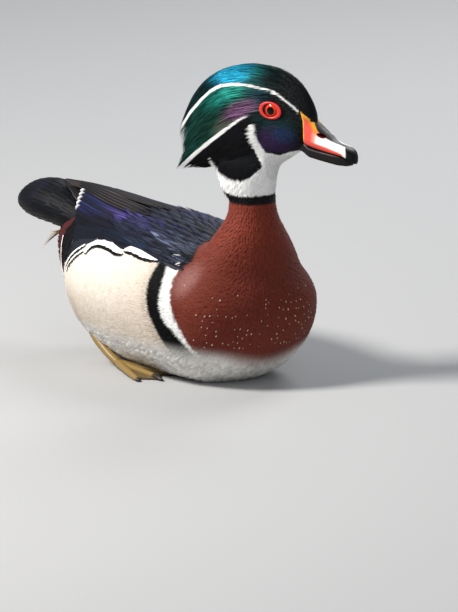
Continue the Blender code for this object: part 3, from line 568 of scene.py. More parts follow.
# The white of the throat, with its spurs up the cheek and round the neck
WHITE_FACE = (
    (-12.3, -9.9), (-10.9, -11.5), (-10.7, -14.7), (-8.5, -21.8), (-4.2, -29.1), (3.8, -30.6),
    (11, -27.9), (17, -26.5), (32, -24), (32, -60.0), (-14.8, -60.1), (-21.4, -60.9), (-31.3, -60.0),
    (-39, -57.8), (-45.4, -53.5), (-48.5, -46), (-50.3, -37.8), (-46.5, -42), (-41.1, -46.6),
    (-31.5, -49.5), (-21.9, -50.2), (-16, -47.3), (-7.1, -39.2), (-8.6, -35.0), (-11.8, -28.7),
    (-15.4, -19.8), (-15.8, -13.5), (-14.4, -10.6),
)
# Fronts and backs of the bars: z, then x
CHESTNUT_EDGE = (
    (-10, 95), (12, 89), (24, 84), (34, 79.5), (43.2, 75.1), (48, 72.6), (53.7, 70.7), (60.1, 68.4),
    (66.4, 66.4), (71.8, 64.9), (76.9, 63.6), (79.5, 64.2), (81.5, 66), (82.9, 66.5), (85, 65),
    (87.7, 61.5), (91.9, 49.1), (93.6, 36), (95, 30),
)
WHITE_BAR_FRONT = ((-10, 110), (76.9, 66), (78, 63.4), (81, 60.2), (84.6, 54.7), (86.5, 51.5))
WHITE_BAR_BACK = (
    (-10, 92), (12, 86.5), (24, 81), (34, 75), (40.8, 69), (44.3, 64.4), (49, 61.4), (55.6, 59.6),
    (62.2, 58.9), (68.6, 58.4), (74.6, 56.5), (80.2, 52.9), (83.9, 50.7), (86.5, 49.5),
)
BLACK_BAR_BACK = (
    (-10, 76), (12, 70), (24, 64), (34, 58), (44.2, 52.7), (49, 50), (55.5, 48.4), (62.2, 47.6),
    (68.6, 47.1), (74.1, 46.6), (78.6, 46.4), (81.3, 44.5), (84, 45), (90, 46),
)
# The white crescents along the top of the flank, and the black under them: upper and lower edges, x and z
CRESCENTS = (
    (((-53, 60.5), (-47.2, 69.3), (-40.6, 74.8), (-31.5, 80.0)),
     ((-52.6, 60), (-46.2, 68.4), (-39.6, 73.8), (-31, 79.2)), 1.2),
    (((-50.5, 60.0), (-44.4, 67.3), (-38, 72.4), (-30, 76.6)),
     ((-50, 59.4), (-43.5, 66.5), (-37, 71.5), (-29.6, 76)), 0.9),
    (((-28, 75.2), (-26.8, 80.4), (-20.8, 83.7), (-9.8, 84.4), (1.5, 83.3), (11.0, 80.6)),
     ((-26.4, 75.0), (-23.0, 79.6), (-16, 81.8), (-5.3, 81.5), (4.5, 80.2), (11.2, 80.0)), 1.5),
    (((9.6, 83.0), (13.3, 84.8), (21.4, 84.3), (33.3, 82.7), (44.5, 81.0)),
     ((11.3, 81.8), (16.5, 82.2), (24.7, 81.4), (33.6, 80.5), (44.5, 80.6)), 1.2),
)
FLANK_TOP = (
    (-66, 50), (-58.4, 61.4), (-50.9, 66.5), (-43.2, 73), (-32.4, 79.5), (-24.6, 83.2), (-12.7, 84.2),
    (-0.4, 83.6), (8.8, 82.9), (22.4, 83.8), (33.1, 82.8), (43.2, 81.9), (50, 81), (60, 79),
)
# The thin white line behind the black of the rear flank: z, then x
REAR_LINE = ((40, -70), (51, -76), (55, -78.5), (65, -82), (74, -86), (84, -90))


def along(curve, value):
    """A curve's second value where its first has the given value."""
    x, y = np.array(curve, float).T
    order = np.argsort(x)
    return np.interp(value, x[order], y[order])


def line_distance(x, z, curve):
    """Distance to a curve in the side view, and how far along it the nearest place is, from 0 to 1."""
    curve = np.array(curve, float)
    best, place = np.full(len(x), 1e9), np.zeros(len(x))
    for i in range(len(curve) - 1):
        a, d = curve[i], curve[i + 1] - curve[i]
        t = np.clip(((x - a[0]) * d[0] + (z - a[1]) * d[1]) / (d @ d), 0, 1)
        gap = np.hypot(x - a[0] - t * d[0], z - a[1] - t * d[1])
        nearer = gap < best
        best[nearer] = gap[nearer]
        place[nearer] = (i + t[nearer]) / (len(curve) - 1)
    return best, place


def inside(x, z, polygon):
    """Whether places in the side view lie in a polygon."""
    polygon = np.array(polygon, float)
    hit = np.zeros(len(x), bool)
    for (ax, az), (bx, bz) in zip(polygon, np.roll(polygon, -1, axis=0)):
        crosses = (az > z) != (bz > z)
        hit ^= crosses & (x < (bx - ax) * (z - az) / (bz - az + 1e-12) + ax)
    return hit


def blot(x, z, centre, size, turn=0.0, soft=0.6):
    """A soft oval in the side view, 1 at its middle."""
    c, s = math.cos(math.radians(turn)), math.sin(math.radians(turn))
    dx, dz = x - centre[0], z - centre[1]
    r = np.hypot((dx * c + dz * s) / size[0], (-dx * s + dz * c) / size[1])
    return 1 - smooth(1 - soft, 1 + soft, r)


def mix(colour, other, share):
    share = np.asarray(share, float)[..., None]
    return colour * (1 - share) + np.array(other) * share


def layered(ground, *layers):
    """A ground under layers of a colour and its share, each mixed over what lies under it."""
    for colour, share in layers:
        ground = mix(ground, colour, share)
    return ground


def even(colour, n):
    """One colour for each of n points."""
    return np.tile(np.array(colour), (n, 1))


def paint_head(h, lines=True):
    """Colour and gloss at points in the head's frame."""
    x, y, z = h.T
    low = along(LOWER_LINE, x)
    above = smooth(-1.5, 1.5, z - along(UPPER_LINE, x))
    crown = above * smooth(10, -16, x)
    band = (1 - above) * smooth(-1.5, 1.5, z - np.where(x > -15, -3.0, low)) * smooth(6, -6, x)
    face = smooth(-16, -8, x) * smooth(2, -8, z) * smooth(-30.5, -27, z)
    colour = layered(
        even((0.0035, 0.0050, 0.0055), len(x)),
        ((0.004, 0.026, 0.028), crown * 0.85),
        # a teal-green patch on top of the crown: partly the crown's own green, partly painted sheen
        ((0.010, 0.135, 0.130), crown * blot(x, z, (-24, 24), (13, 7)) * 0.8),
        # a bright cyan-blue patch at the back of the crown: partly the crown's own blue, partly painted
        # highlight
        ((0.014, 0.300, 0.480), crown * blot(x, z, (-37, 21), (15, 9), 15) * 0.95),
        ((0.006, 0.052, 0.036), band * smooth(2, -14, x) * 0.95),
        # a bright teal streak along the band behind the eye: partly the band's own green, partly painted
        # highlight
        ((0.012, 0.20, 0.16), band * blot(x, z, (-36, 7), (22, 6), 24, 0.8) * smooth(-10, -26, x) * 0.95),
        ((0.003, 0.022, 0.034), band * blot(x, z, (-9, 9), (12, 6)) * 0.9),
        ((0.150, 0.135, 0.110), band * blot(x, z, (-33, -12), (13, 5.5), 40) * 0.55),
        ((0.125, 0.060, 0.122), band * blot(x, z, (-23, -2.5), (13.5, 6), 22, 0.45)),
        ((0.006, 0.055, 0.042), band * smooth(-52, -66, x) * 0.9),
        ((0.005, 0.030, 0.032), face * blot(x, z, (0, -9), (16, 6)) * 0.8),
        ((0.034, 0.016, 0.062), face * blot(x, z, (2, -21), (12, 9)) * 0.9),
        ((0.012, 0.040, 0.110), face * blot(x, z, (9, -16), (7, 5)) * 0.7),
        ((0.0030, 0.0025, 0.0040), smooth(1.0, -2.0, z - low) * smooth(-16, -22, x)),
    )
    gloss = 0.14 + 0.56 * np.maximum(crown, band)
    if lines:
        white = np.zeros(len(x))
        for curve, thin, more, ends, start in WHITE_LINES:
            gap, place = line_distance(x, z, curve)
            wide = thin + more * smooth(*ends, place)
            white = np.maximum(white, smooth(wide + 0.45, wide - 0.1, gap) * (place > start))
        colour = mix(colour, WHITE, white)
        gloss *= 1 - white
    face_white = inside(x, z, WHITE_FACE) & ((x > -24) | (np.abs(y) > 6.5 - 2.0 * smooth(-60, -50, z)))
    colour[face_white] = WHITE
    gloss[face_white] = 0.0
    colour[face_white & (x > -6) & (z < -31)] = np.array(WHITE) * THROAT_SHADE
    return colour, gloss


def paint_body(p):
    """Colour and gloss at points on neck, breast, flanks, belly, back and rump."""
    x, y, z = p.T
    side = np.abs(y)
    chest = np.where(z > 100, 1.0, smooth(-0.6, 0.6, x - along(CHESTNUT_EDGE, z)))
    bar = (1 - chest) * smooth(-0.6, 0.6, x - along(WHITE_BAR_BACK, z)) * smooth(86.5, 85, z)
    bar *= smooth(-0.6, 0.6, along(WHITE_BAR_FRONT, z) - x)
    black = (1 - chest - bar) * smooth(-0.8, 0.8, x - along(BLACK_BAR_BACK, z)) * smooth(90, 84, z)
    flank = (1 - chest - bar - black) * smooth(0.4, -0.4, z - along(FLANK_TOP, x))
    flank = flank * smooth(-64, -60, x - (z - 50) * 0.15)
    rear = (1 - chest - bar - black - flank) * smooth(88, 82, z) * smooth(-48, -54, x)
    edge = along(REAR_LINE, z) - x
    # painted sheen: a pale pink patch on the chestnut beside the white bar
    painted_sheen = chest * blot(x, z, (74, 75), (7, 11)) * smooth(30, 45, side)
    belly = smooth(33, 22, z + 0.10 * (60 - side)) * smooth(-75, -55, x) * smooth(104, 92, x)
    # The cream of the flank, darker and warmer towards the front and towards the bottom: partly a warmer
    # buff, partly painted shade
    cream = layered(
        even(BUFF, len(x)),
        ((0.66, 0.56, 0.46), smooth(-5, 45, x) * 0.7),
        ((0.56, 0.48, 0.40), smooth(58, 40, z) * 0.6),
    )
    colour = layered(
        even((0.008, 0.008, 0.012), len(x)),
        ((0.020, 0.022, 0.030), smooth(60, 80, z) * smooth(80, 60, x)),
        (BLACK, rear * smooth(40, 50, z)),
        (MAROON, rear * smooth(0.4, 1.0, edge) * smooth(20, 14, edge) * smooth(40, 50, z)),
        (cream, flank),
        (BLACK, black),
        (WHITE, bar),
        (np.array(CHESTNUT) * (0.85 + 0.35 * smooth(75, 110, z))[:, None], chest),
        ((0.50, 0.27, 0.25), painted_sheen * 0.35),
        ((0.72, 0.70, 0.66), belly),
        ((0.020, 0.014, 0.014), smooth(-58, -76, x) * smooth(46, 36, z - 0.3 * (-60 - x))),
        (BLACK, smooth(122.9, 124.1, z) * smooth(133, 128, z)),
    )
    return colour, 0.30 * (1 - np.clip(chest + bar + flank + belly + rear, 0, 1)) + 0.02


def paint(p):
    """Colour and gloss at points of the bird."""
    head, head_gloss = paint_head(body_to_head(p))
    body, body_gloss = paint_body(p)
    share = smooth(128.6, 129.4, p[:, 2])
    return mix(body, head, share), head_gloss * share + body_gloss * (1 - share)


# Feathers


def share_of_turn(up, across):
    return np.arctan2(up, across) / (2 * math.pi) + 0.5


def unwrap(p):
    """Where places on the skin lie on its unwrapped sheet: body below, head and neck above."""
    h = body_to_head(p)
    body = np.stack([(p[:, 0] + 185) / 310, share_of_turn(p[:, 2] - 52, p[:, 1]) * 0.58], axis=1)
    turn = share_of_turn(h[:, 2] + 12, h[:, 1])
    head = np.stack([(h[:, 0] + 90) / 130 * 0.55, 0.62 + turn * 0.36], axis=1)
    turn = share_of_turn(p[:, 1], p[:, 0] - 85)
    neck = np.stack([0.58 + (p[:, 2] - 100) / 30 * 0.4, 0.62 + turn * 0.36], axis=1)
    out = np.where(p[:, 2:] < 106, body, np.where(p[:, 2:] > HEAD_START, head, neck))
    return np.clip(out, 0.004, 0.992)


class Coat:
    """Feathers gathered as grids of points, made into one mesh each."""

    def __init__(self, name):
        self.name = name
        self.grids = []

    def add(self, points, colour, gloss, roots):
        """points (n, stations, columns, 3), colour alike, gloss (n, stations, columns), roots (n, 3)."""
        self.grids.append((points, colour, gloss, roots))

    def build(self, look, *nodes):
        """Makes the mesh; the nodes are those it stands for."""
        verts, faces, colours, shine, bake, vane = [], [], [], [], [], []
        base = 0
        for points, colour, gloss, roots in self.grids:
            n, stations, columns = points.shape[:3]
            verts.append(points.reshape(-1, 3))
            colours.append(colour.reshape(-1, 3))
            shine.append(gloss.reshape(-1))
            i, j = np.meshgrid(np.arange(stations - 1), np.arange(columns - 1), indexing="ij")
            corner = (i * columns + j).ravel()
            quad = np.stack([corner, corner + 1, corner + columns + 1, corner + columns], axis=1)
            step = np.arange(n)[:, None, None] * stations * columns
            faces.append((quad[None] + step).reshape(-1, 4) + base)
            base += n * stations * columns
            t, k = np.meshgrid(np.linspace(0, 1, stations), np.linspace(0, 1, columns), indexing="ij")
            own = np.stack([k, t], axis=2).reshape(-1, 2)
            vane.append(np.tile(own, (n, 1)))
            bake.append((unwrap(roots)[:, None, :] + own[None] * ISLAND).reshape(-1, 2))
        verts, faces = np.concatenate(verts), np.concatenate(faces)
        verts[:, 2] = np.maximum(verts[:, 2], FLOOR_GAP)
        mesh = bpy.data.meshes.new(self.name)
        mesh.vertices.add(len(verts))
        mesh.vertices.foreach_set("co", to_frame(verts).ravel())
        mesh.loops.add(faces.size)
        mesh.loops.foreach_set("vertex_index", faces.ravel().astype(np.int32))
        mesh.polygons.add(len(faces))
        mesh.polygons.foreach_set("loop_start", np.arange(0, faces.size, 4, dtype=np.int32))
        mesh.polygons.foreach_set("use_smooth", np.ones(len(faces), bool))
        mesh.update()
        tint_points(mesh, np.concatenate(colours), np.concatenate(shine))
        for layer, uv in (("OFBake", bake), ("Vane", vane)):
            made = mesh.uv_layers.new(name=layer)
            made.data.foreach_set("uv", np.concatenate(uv)[faces.ravel()].ravel())
        mesh.validate()
        obj = bpy.data.objects.new(self.name, mesh)
        bpy.context.scene.collection.objects.link(obj)
        return settle(obj, look, "feathers", *nodes)


def outline(t, kind):
    """A feather's half width from root to tip, as a share of its widest."""
    if kind == "hair":
        return np.clip(1 - t**1.6, 0.06, 1) * (0.6 + 0.4 * smooth(0, 0.3, t))
    if kind == "soft":
        return np.clip(1 - t**2.6, 0.05, 1) * (0.5 + 0.5 * smooth(0, 0.35, t))
    start, length, power, root = {"round": (0.45, 0.57, 2.4, 0.45), "broad": (0.7, 0.31, 2.2, 0.6)}[kind]
    tip = np.sqrt(np.clip(1 - np.clip((t - start) / length, 0, 1) ** power, 0.0, 1))
    return tip * (root + (1 - root) * smooth(0, 0.4, t))


def ribbons(spine, across, half, k):
    """Grids of points over spines, from the ways across them, half widths and the columns' places."""
    return spine[:, :, None, :] + across[:, :, None, :] * (half[..., None] * k)[..., None]


def over_columns(colour, gloss, shape):
    """Colour and gloss along feathers, the same for all the columns of their grids."""
    n, stations, _ = shape
    colour = np.broadcast_to(colour.reshape(n, stations, 1, 3), (*shape, 3))
    return colour, np.broadcast_to(gloss.reshape(n, stations, 1), shape)


def small_feathers(coat, skin, roots, length, width, rise, kind="soft", colour_of=paint, stations=4,
                   columns=3, wander=0.10, camber=0.25, sink=0.35, uneven=0.18, tilt=0.10, painted_root_shade=0.22):
    """Feathers that lie along the skin from their roots, each darkened towards its root as painted shade;
    sizes are numbers or one for each root.
    """
    n = len(roots)
    _, normals = skin.drop(roots)
    way = lie(roots, normals)
    way = unit(way + np.cross(normals, way) * RNG.normal(0, wander, n)[:, None])
    length = length * RNG.uniform(0.85, 1.15, n)
    width = width * RNG.uniform(0.88, 1.12, n)
    rise = rise * RNG.uniform(0.8, 1.2, n)
    t, k = np.linspace(0, 1, stations), np.linspace(-1, 1, columns)
    flat, out = skin.drop(roots[:, None, :] + way[:, None, :] * (length[:, None] * t)[..., None])
    across = unit(np.cross(out, unit(np.gradient(flat, axis=1) + 1e-9)))
    over = -sink + (rise[:, None] + sink) * t**0.8
    half = width[:, None] / 2 * outline(t, kind)
    deep = half[..., None]
    twist = RNG.normal(0, tilt, n)[:, None, None]
    lift = over[..., None] - camber * deep * k**2 + twist * deep * k
    points = ribbons(flat, across, half, k) + out[:, :, None, :] * lift[..., None]
    colour, gloss = over_columns(*colour_of(flat.reshape(-1, 3)), (n, stations, columns))
    vary = RNG.uniform(1 - uneven, 1 + uneven, n)[:, None, None, None]
    # painted shade: each feather is darker towards its root, under the feathers that overlap it
    root_shade = (1 - painted_root_shade * (1 - t))[None, :, None, None]
    coat.add(points, colour * vary * root_shade, gloss, roots)


# Materials


def new_look(name):
    made = bpy.data.materials.new(name)
    made.use_nodes = True
    return made, made.node_tree, made.node_tree.nodes["Principled BSDF"]


def plug(tree, node, **inputs):
    """Sets a node's inputs to values, or links them to other nodes' outputs."""
    for key, value in inputs.items():
        socket = node.inputs[int(key[1:]) if key[0] == "_" else key.replace("_", " ")]
        if isinstance(value, bpy.types.NodeSocket):
            tree.links.new(value, socket)
        else:
            socket.default_value = value


def add_node(tree, kind, settings=(), **inputs):
    """A shader node with its settings and inputs, where _0 is the first input and so on."""
    node = tree.nodes.new("ShaderNode" + kind)
    for key, value in dict(settings).items():
        setattr(node, key, value)
    plug(tree, node, **inputs)
    return node


def calculate(tree, operation, *values):
    """The output of a math node."""
    inputs = {"_" + str(i): value for i, value in enumerate(values)}
    return add_node(tree, "Math", {"operation": operation}, **inputs).outputs[0]


def feather_look(name, roughness, barbs, sheen=0.0, fine=0.0, relief=0.15):
    """Feathers coloured by their points, glossier where the tint's alpha is high, with barbs as bump."""
    made, tree, shader = new_look(name)
    tint = add_node(tree, "VertexColor", {"layer_name": "Tint"})
    uv = add_node(tree, "UVMap", {"uv_map": "Vane"})
    split = add_node(tree, "SeparateXYZ", _0=uv.outputs["UV"])
    fold = calculate(tree, "PINGPONG", split.outputs["X"], 0.5)
    slant = calculate(tree, "MULTIPLY_ADD", fold, 0.55, split.outputs["Y"])
    wave = calculate(tree, "SINE", calculate(tree, "MULTIPLY", slant, barbs))
    bump = add_node(tree, "Bump", Strength=relief, Distance=BARB_DEPTH, Height=wave)
    colour, shine = tint.outputs["Color"], tint.outputs["Alpha"]
    plug(tree, shader, Base_Color=add_fine_lines(tree, colour, fine) if fine else colour,
         Metallic=calculate(tree, "MULTIPLY", shine, 0.75), Normal=bump.outputs[0],
         Roughness=calculate(tree, "MULTIPLY_ADD", shine, -0.28, roughness), Specular_IOR_Level=0.10,
         Sheen_Weight=sheen, Sheen_Roughness=0.5)
    return made


def add_fine_lines(tree, colour, strength):
    """Fine dark wavy lines across the buff flank feathers."""
    place = add_node(tree, "TexCoord").outputs["Object"]
    stretch = add_node(tree, "Mapping", Scale=(1.0, 1.0, 0.30), Vector=place)
    noise = add_node(tree, "TexNoise", Scale=1500.0, Detail=1.0, Distortion=0.6, Vector=stretch.outputs[0])
    step = add_node(tree, "ValToRGB", Fac=noise.outputs["Fac"])
    for end, position, level in ((0, 0.40, 1 - strength), (1, 0.52, 1)):
        step.color_ramp.elements[end].position = position
        step.color_ramp.elements[end].color = (level, level, level, 1)
    both = add_node(tree, "Mix", {"data_type": "RGBA", "blend_type": "MULTIPLY"}, Factor=1.0)
    tree.links.new(colour, both.inputs["A"])
    tree.links.new(step.outputs["Color"], both.inputs["B"])
    return both.outputs["Result"]


def tinted_look(name, roughness, coat=0.0, bump_scale=0.0, bump_depth=0.0001, specular=0.3):
    """A smooth material coloured by the mesh's points."""
    made, tree, shader = new_look(name)
    tint = add_node(tree, "VertexColor", {"layer_name": "Tint"})
    plug(tree, shader, Base_Color=tint.outputs["Color"], Roughness=roughness, Coat_Weight=coat,
         Coat_Roughness=0.15, Specular_IOR_Level=specular)
    if bump_scale:
        place = add_node(tree, "TexCoord").outputs["Object"]
        noise = add_node(tree, "TexNoise", Scale=bump_scale, Vector=place)
        bump = add_node(tree, "Bump", Strength=0.4, Distance=bump_depth, Height=noise.outputs["Fac"])
        plug(tree, shader, Normal=bump.outputs[0])
    return made


def tint_points(mesh, colours, gloss=0.0):
    """Colours a mesh's points, with the gloss as alpha."""
    layer = mesh.color_attributes.new("Tint", "FLOAT_COLOR", "POINT")
    rgba = np.column_stack([colours, np.broadcast_to(gloss, len(colours))])
    layer.data.foreach_set("color", rgba.ravel())


def settle(obj, look, slot, *nodes):
    """Gives a piece its material and the nodes it stands for; the slot is not used."""
    obj.data.materials.clear()
    obj.data.materials.append(look)
    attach(obj, "root")
    if nodes:
        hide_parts(*nodes)
    return obj


# Eyes, lids and bill


def make_eye(name, side, look):
    """A ball with a bright iris and a round pupil that looks outward and a little forward."""
    axis = unit(np.array((0.12, side, 0.0)))
    right = unit(np.cross(axis, np.array((0.0, 0.0, 1.0))))
    up = np.cross(right, axis)
    angle = math.pi * (np.linspace(0, math.pi, EYE_ROWS + 1)[1:-1] / math.pi) ** 1.6
    turn = full_turn(EYE_AROUND)
    reach = EYE_RADIUS + 0.35 * np.exp(-(np.degrees(angle) / 26.0) ** 2)
    ring = (axis * np.cos(angle)[:, None, None] + np.sin(angle)[:, None, None] *
            (right * np.cos(turn)[None, :, None] + up * np.sin(turn)[None, :, None]))
    centre = np.array((0.0, side * EYE_SIDE, 0.0))
    points = [*(centre + ring * reach[:, None, None]).reshape(-1, 3), centre + axis * reach[0],
              centre - axis * EYE_RADIUS]
    faces = ring_faces(len(angle), EYE_AROUND)
    eye = closed_object("eyeball_" + name, head_to_body(np.array(points)), faces)
    degrees = np.concatenate([np.degrees(angle).repeat(EYE_AROUND), [0.0, 180.0]])
    spoke = np.tile(np.sin(turn * 23) * 0.5 + np.sin(turn * 37 + 1) * 0.5, len(angle))
    tint_points(eye.data, layered(
        even((0.50, 0.022, 0.010), len(degrees)),
        ((0.72, 0.075, 0.015), smooth(36, 25, degrees) * (0.5 + 0.35 * np.concatenate([spoke, [0, 0]]))),
        ((0.003, 0.002, 0.002), smooth(PUPIL, PUPIL - 1, degrees)),
        ((0.02, 0.004, 0.003), smooth(IRIS, IRIS + 2, degrees)),
    ))
    settle(eye, look, "eye_gloss", "eye_" + name)


def make_lids(name, side, look):
    """The fleshy ring round an eye, with its fine folds."""
    turn = full_turn(LID_AROUND)[:, None]
    part = full_turn(LID_SECTION)[None, :]
    fold = 0.05 * np.sin(turn * 31) * (np.cos(part) > -0.3)
    x = 6.6 * np.cos(turn)
    z = 4.95 * np.sin(turn) - 0.10 * x
    y = 14.5 - 0.15 * x - 0.10 * z
    away = (0.75 + 0.8 * np.cos(turn) ** 2 + fold) * np.cos(part)
    lift = (0.95 + fold) * np.sin(part)
    rings = np.stack([x + np.cos(turn) * away, side * (y + lift), z + np.sin(turn) * away], axis=2)
    faces = []
    for i in range(LID_AROUND):
        here, there = i * LID_SECTION, (i + 1) % LID_AROUND * LID_SECTION
        for j in range(LID_SECTION):
            k = (j + 1) % LID_SECTION
            faces.append((here + j, here + k, there + k, there + j))
    lids = closed_object(name, head_to_body(rings).reshape(-1, 3), faces)
    inner = np.clip(-np.cos(part) * np.ones_like(turn), 0, 1).ravel()
    tint_points(lids.data, mix(even((0.62, 0.030, 0.022), len(inner)), LID_RIM, smooth(0.75, 1.0, inner)))
    settle(lids, look, "bill_horn")


def bill_rings(stations, count, around, above, below):
    """Rings of a bill half, with the squareness above and below its middle."""
    turn = full_turn(around)
    power = 2 / np.where(np.sin(turn) > 0, above, below)
    y = np.sign(np.cos(turn)) * np.abs(np.cos(turn)) ** power
    z = np.sign(np.sin(turn)) * np.abs(np.sin(turn)) ** power
    first, last = stations[0][0], stations[-1][0]
    xs = first + (last - first) * np.sin(np.linspace(0, math.pi / 2, count))
    rings = []
    for x, half, top, bottom in curve_through(stations, xs):
        middle, high = (top + bottom) / 2, (top - bottom) / 2
        rings.append(np.stack([np.full(around, x), half * y, middle + high * z], axis=1))
    return np.array(rings)


def cut(obj, cutter):
    step = obj.modifiers.new("cut", "BOOLEAN")
    step.operation = "DIFFERENCE"
    step.object = cutter
    step.solver = "EXACT"
    apply_modifiers(obj)


# Where the bill's base meets the feathers: z and x behind, x and z above, and the yellow band's top
LOBE_REAR = (
    (-27.0, 17.0), (-25.8, 17.4), (-22, 20.5), (-18.7, 22.0), (-15, 22.2), (-10.2, 21.9), (-6, 21.2),
    (-2, 20.0), (1.7, 18.6), (3.0, 18.2),
)
LOBE_ROOF = ((17.0, 2.6), (18.6, 1.9), (22, -1.2), (25, -3.9), (28.5, -6.8), (32, -9.0))
BAND_TOP = ((17.0, 2.6), (18.6, 1.9), (22, -1.2), (25, -3.9), (28.5, -8.2), (32, -11.6), (36, -15))


def fit_base(rings, skin):
    """Brings the bill's base out over the skin within the feather edge, and under it elsewhere."""
    for ring in rings:
        x = ring[0, 0]
        if x > BASE_END:
            continue
        middle = np.array((x, 0.0, ring[:, 2].mean()))
        start = Vector(head_to_body(middle))
        for point in ring:
            way, reach = unit(point - middle), np.linalg.norm(point - middle)
            outer = skin.tree.ray_cast(start, Vector(turned_to_body(way)))[3]
            if outer is None:
                continue
            height = middle[2] + way[2] * (outer + 0.4)
            share = smooth(-0.4, 0.4, x - along(LOBE_REAR, height))
            share = share * smooth(-0.4, 0.4, along(LOBE_ROOF, x) - height)
            hidden, shown = min(reach, outer - 1.3), max(reach, outer + 0.4)
            point[:] = middle + way * (hidden + (shown - hidden) * share)
    return rings


def paint_bill(h):
    """The upper half: red base and hem with a yellow edge, pale sides, dark ridge, nail and nostrils."""
    x, y, z = h.T
    side = np.abs(y)
    _, _, top, edge = curve_through(BILL_UPPER, x).T
    seam = 30.4 + 0.1 * (z + 21)
    hem = np.interp(x, [28, 36, 44, 51], [4.8, 4.3, 3.4, 2.3])
    below = along(BAND_TOP, x) - z
    ridge = np.interp(x, [26, 28, 31, 34, 38, 42, 46, 52], [0.8, 3.2, 5.0, 5.9, 4.8, 3.2, 2.0, 2.4])
    colour = layered(
        even((0.88, 0.85, 0.82), len(x)),
        ((0.88, 0.28, 0.22), smooth(seam + 2.0, seam - 0.8, x)),
        ((0.78, 0.090, 0.065), smooth(seam - 0.6, seam - 3.6, x)),
        ((0.74, 0.085, 0.062), smooth(hem + 0.4, hem - 0.4, z - edge) * smooth(53, 51, x)),
        ((0.85, 0.22, 0.03), smooth(4.0, 2.2, below) * smooth(35, 31, x)),
        ((0.85, 0.42, 0.04), smooth(2.8, 1.2, below) * smooth(33, 28, x)),
        ((0.80, 0.40, 0.05), smooth(1.3, 0.7, x - along(LOBE_REAR, z)) * smooth(-22, -19, z)),
        ((0.014, 0.012, 0.015), smooth(ridge + 0.4, ridge - 0.4, side) * (z > (top + edge) / 2)),
        ((0.006, 0.006, 0.007), smooth(0, 0.9, x - 50.8 - 3.4 * (side / 6.5) ** 2)),
    )
    forward = x - NOSTRIL_X
    gap = np.hypot(forward / NOSTRIL_LONG, (z - NOSTRIL_Z + NOSTRIL_SLOPE * forward) / NOSTRIL_HIGH)
    colour[gap < 1.06] = NOSTRIL_COLOUR
    return colour


def make_bill(look, skin):
    upper = loft_object("horn_upper", fit_base(bill_rings(BILL_UPPER, 150, 144, 2.15, 3.8), skin))
    rings = bill_rings(BILL_LOWER, 70, 72, 2.8, 2.8)
    rings[..., 2] += 1.4 * (rings[..., 2] > rings[..., 2].mean(axis=1, keepdims=True))
    inward = smooth(26, 16, rings[..., 0])
    rings[..., 1] *= 0.92 - 0.31 * inward
    rings[..., 2] += 1.8 * inward
    lower = loft_object("horn_lower", rings)
    turn = full_turn(NOSTRIL_AROUND)
    x = NOSTRIL_X + NOSTRIL_LONG * np.cos(turn)
    z = NOSTRIL_Z + (NOSTRIL_HIGH * np.sin(turn) - NOSTRIL_SLOPE * NOSTRIL_LONG * np.cos(turn))
    ends = [np.stack([x, np.full(NOSTRIL_AROUND, y), z], axis=1) for y in (-12.0, 12.0)]
    hole = loft_object("hole", np.array(ends))
    cut(upper, hole)
    bpy.data.objects.remove(hole)
    for piece, node in ((upper, "bill_upper"), (lower, "bill_lower")):
        h = object_points(piece)
        tint_points(piece.data, paint_bill(h) if piece is upper else even(BILL_DARK, len(h)))
        move_points(piece.data, to_frame(head_to_body(h)))
        settle(piece, look, "bill_horn", node)


# Feet


def rounded(path):
    """A line of points with its corners cut."""
    a, b = path[:-1], path[1:]
    middle = (a + b) / 2
    pairs = np.stack([middle * 0.5 + a * 0.5, middle * 0.5 + b * 0.5], axis=1)
    return np.concatenate([path[:1], pairs.reshape(-1, path.shape[1]), path[-1:]])


def rod_rings(line, radii):
    """A bent rod with an oval section through a line of points."""
    path = np.column_stack([np.array(line, float), radii])
    for _ in range(3):
        path = rounded(path)
    length = np.concatenate([[0], np.cumsum(np.linalg.norm(np.diff(path[:, :3], axis=0), axis=1))])
    at = np.linspace(0, length[-1], ROD_RINGS)
    *spine, radius = (np.interp(at, length, column) for column in path.T)
    spine = np.stack(spine, axis=1)
    radius = radius * (1 + 0.035 * np.sin(at * 3.2))
    forward = unit(np.gradient(spine, axis=0))
    across = unit(np.cross(np.array((0, 0, 1.0)), forward))
    up = np.cross(forward, across) * 0.85
    turn = full_turn(ROD_AROUND)[None, :, None]
    ring = across[:, None, :] * np.cos(turn) + up[:, None, :] * np.sin(turn)
    return spine[:, None, :] + ring * radius[:, None, None]


def add_web(points, faces):
    """The skin between the toes: two layers of rings round a middle, closed at the rim."""
    rim, middle = np.array(WEB, float), np.array((8.0, 45.0))
    first, n, m = len(points), len(rim), WEB_RINGS
    for layer in (0, 1):
        for share in np.linspace(0.08, 1.0, m):
            height = np.full(n, 0.2) if layer else 1.9 - 0.25 * np.sin(np.arange(n) * 2.4) * share
            points += [(x, y, z) for (x, y), z in zip(middle + (rim - middle) * share, height)]
    pairs = [(j, (j + 1) % n) for j in range(n)]
    for start in (first, first + n * m):
        for ring in range(start, start + (m - 1) * n, n):
            faces += [(ring + j, ring + k, ring + k + n, ring + j + n) for j, k in pairs]
        faces.append(tuple(range(start, start + n)))
    last = first + (m - 1) * n
    faces += [(last + j, last + k, last + k + n * m, last + j + n * m) for j, k in pairs]


TOES = (
    ((20.0, 37.0, 2.6), (33.0, 33.0, 2.1)), ((22.0, 45.5, 2.6), (43.0, 46.5, 2.1)),
    ((18.0, 53.5, 2.6), (36.0, 60.0, 2.1)),
)
HIND_TOE = ((-14.0, 40.0, 2.4), (-20.0, 38.5, 1.4))
SHANK = ((-18.0, 45.0, 9.0), (-34.0, 44.0, 19.0), (-44.0, 38.0, 31.0))
WEB = (
    (-5, 41.5), (10, 38.5), (22, 35.0), (33, 32.8), (33.5, 38.5), (37, 42.5), (43, 46.4), (38, 51.0),
    (34, 55.0), (36, 60.0), (22, 56.5), (8, 51.0), (-5, 46.5),
)


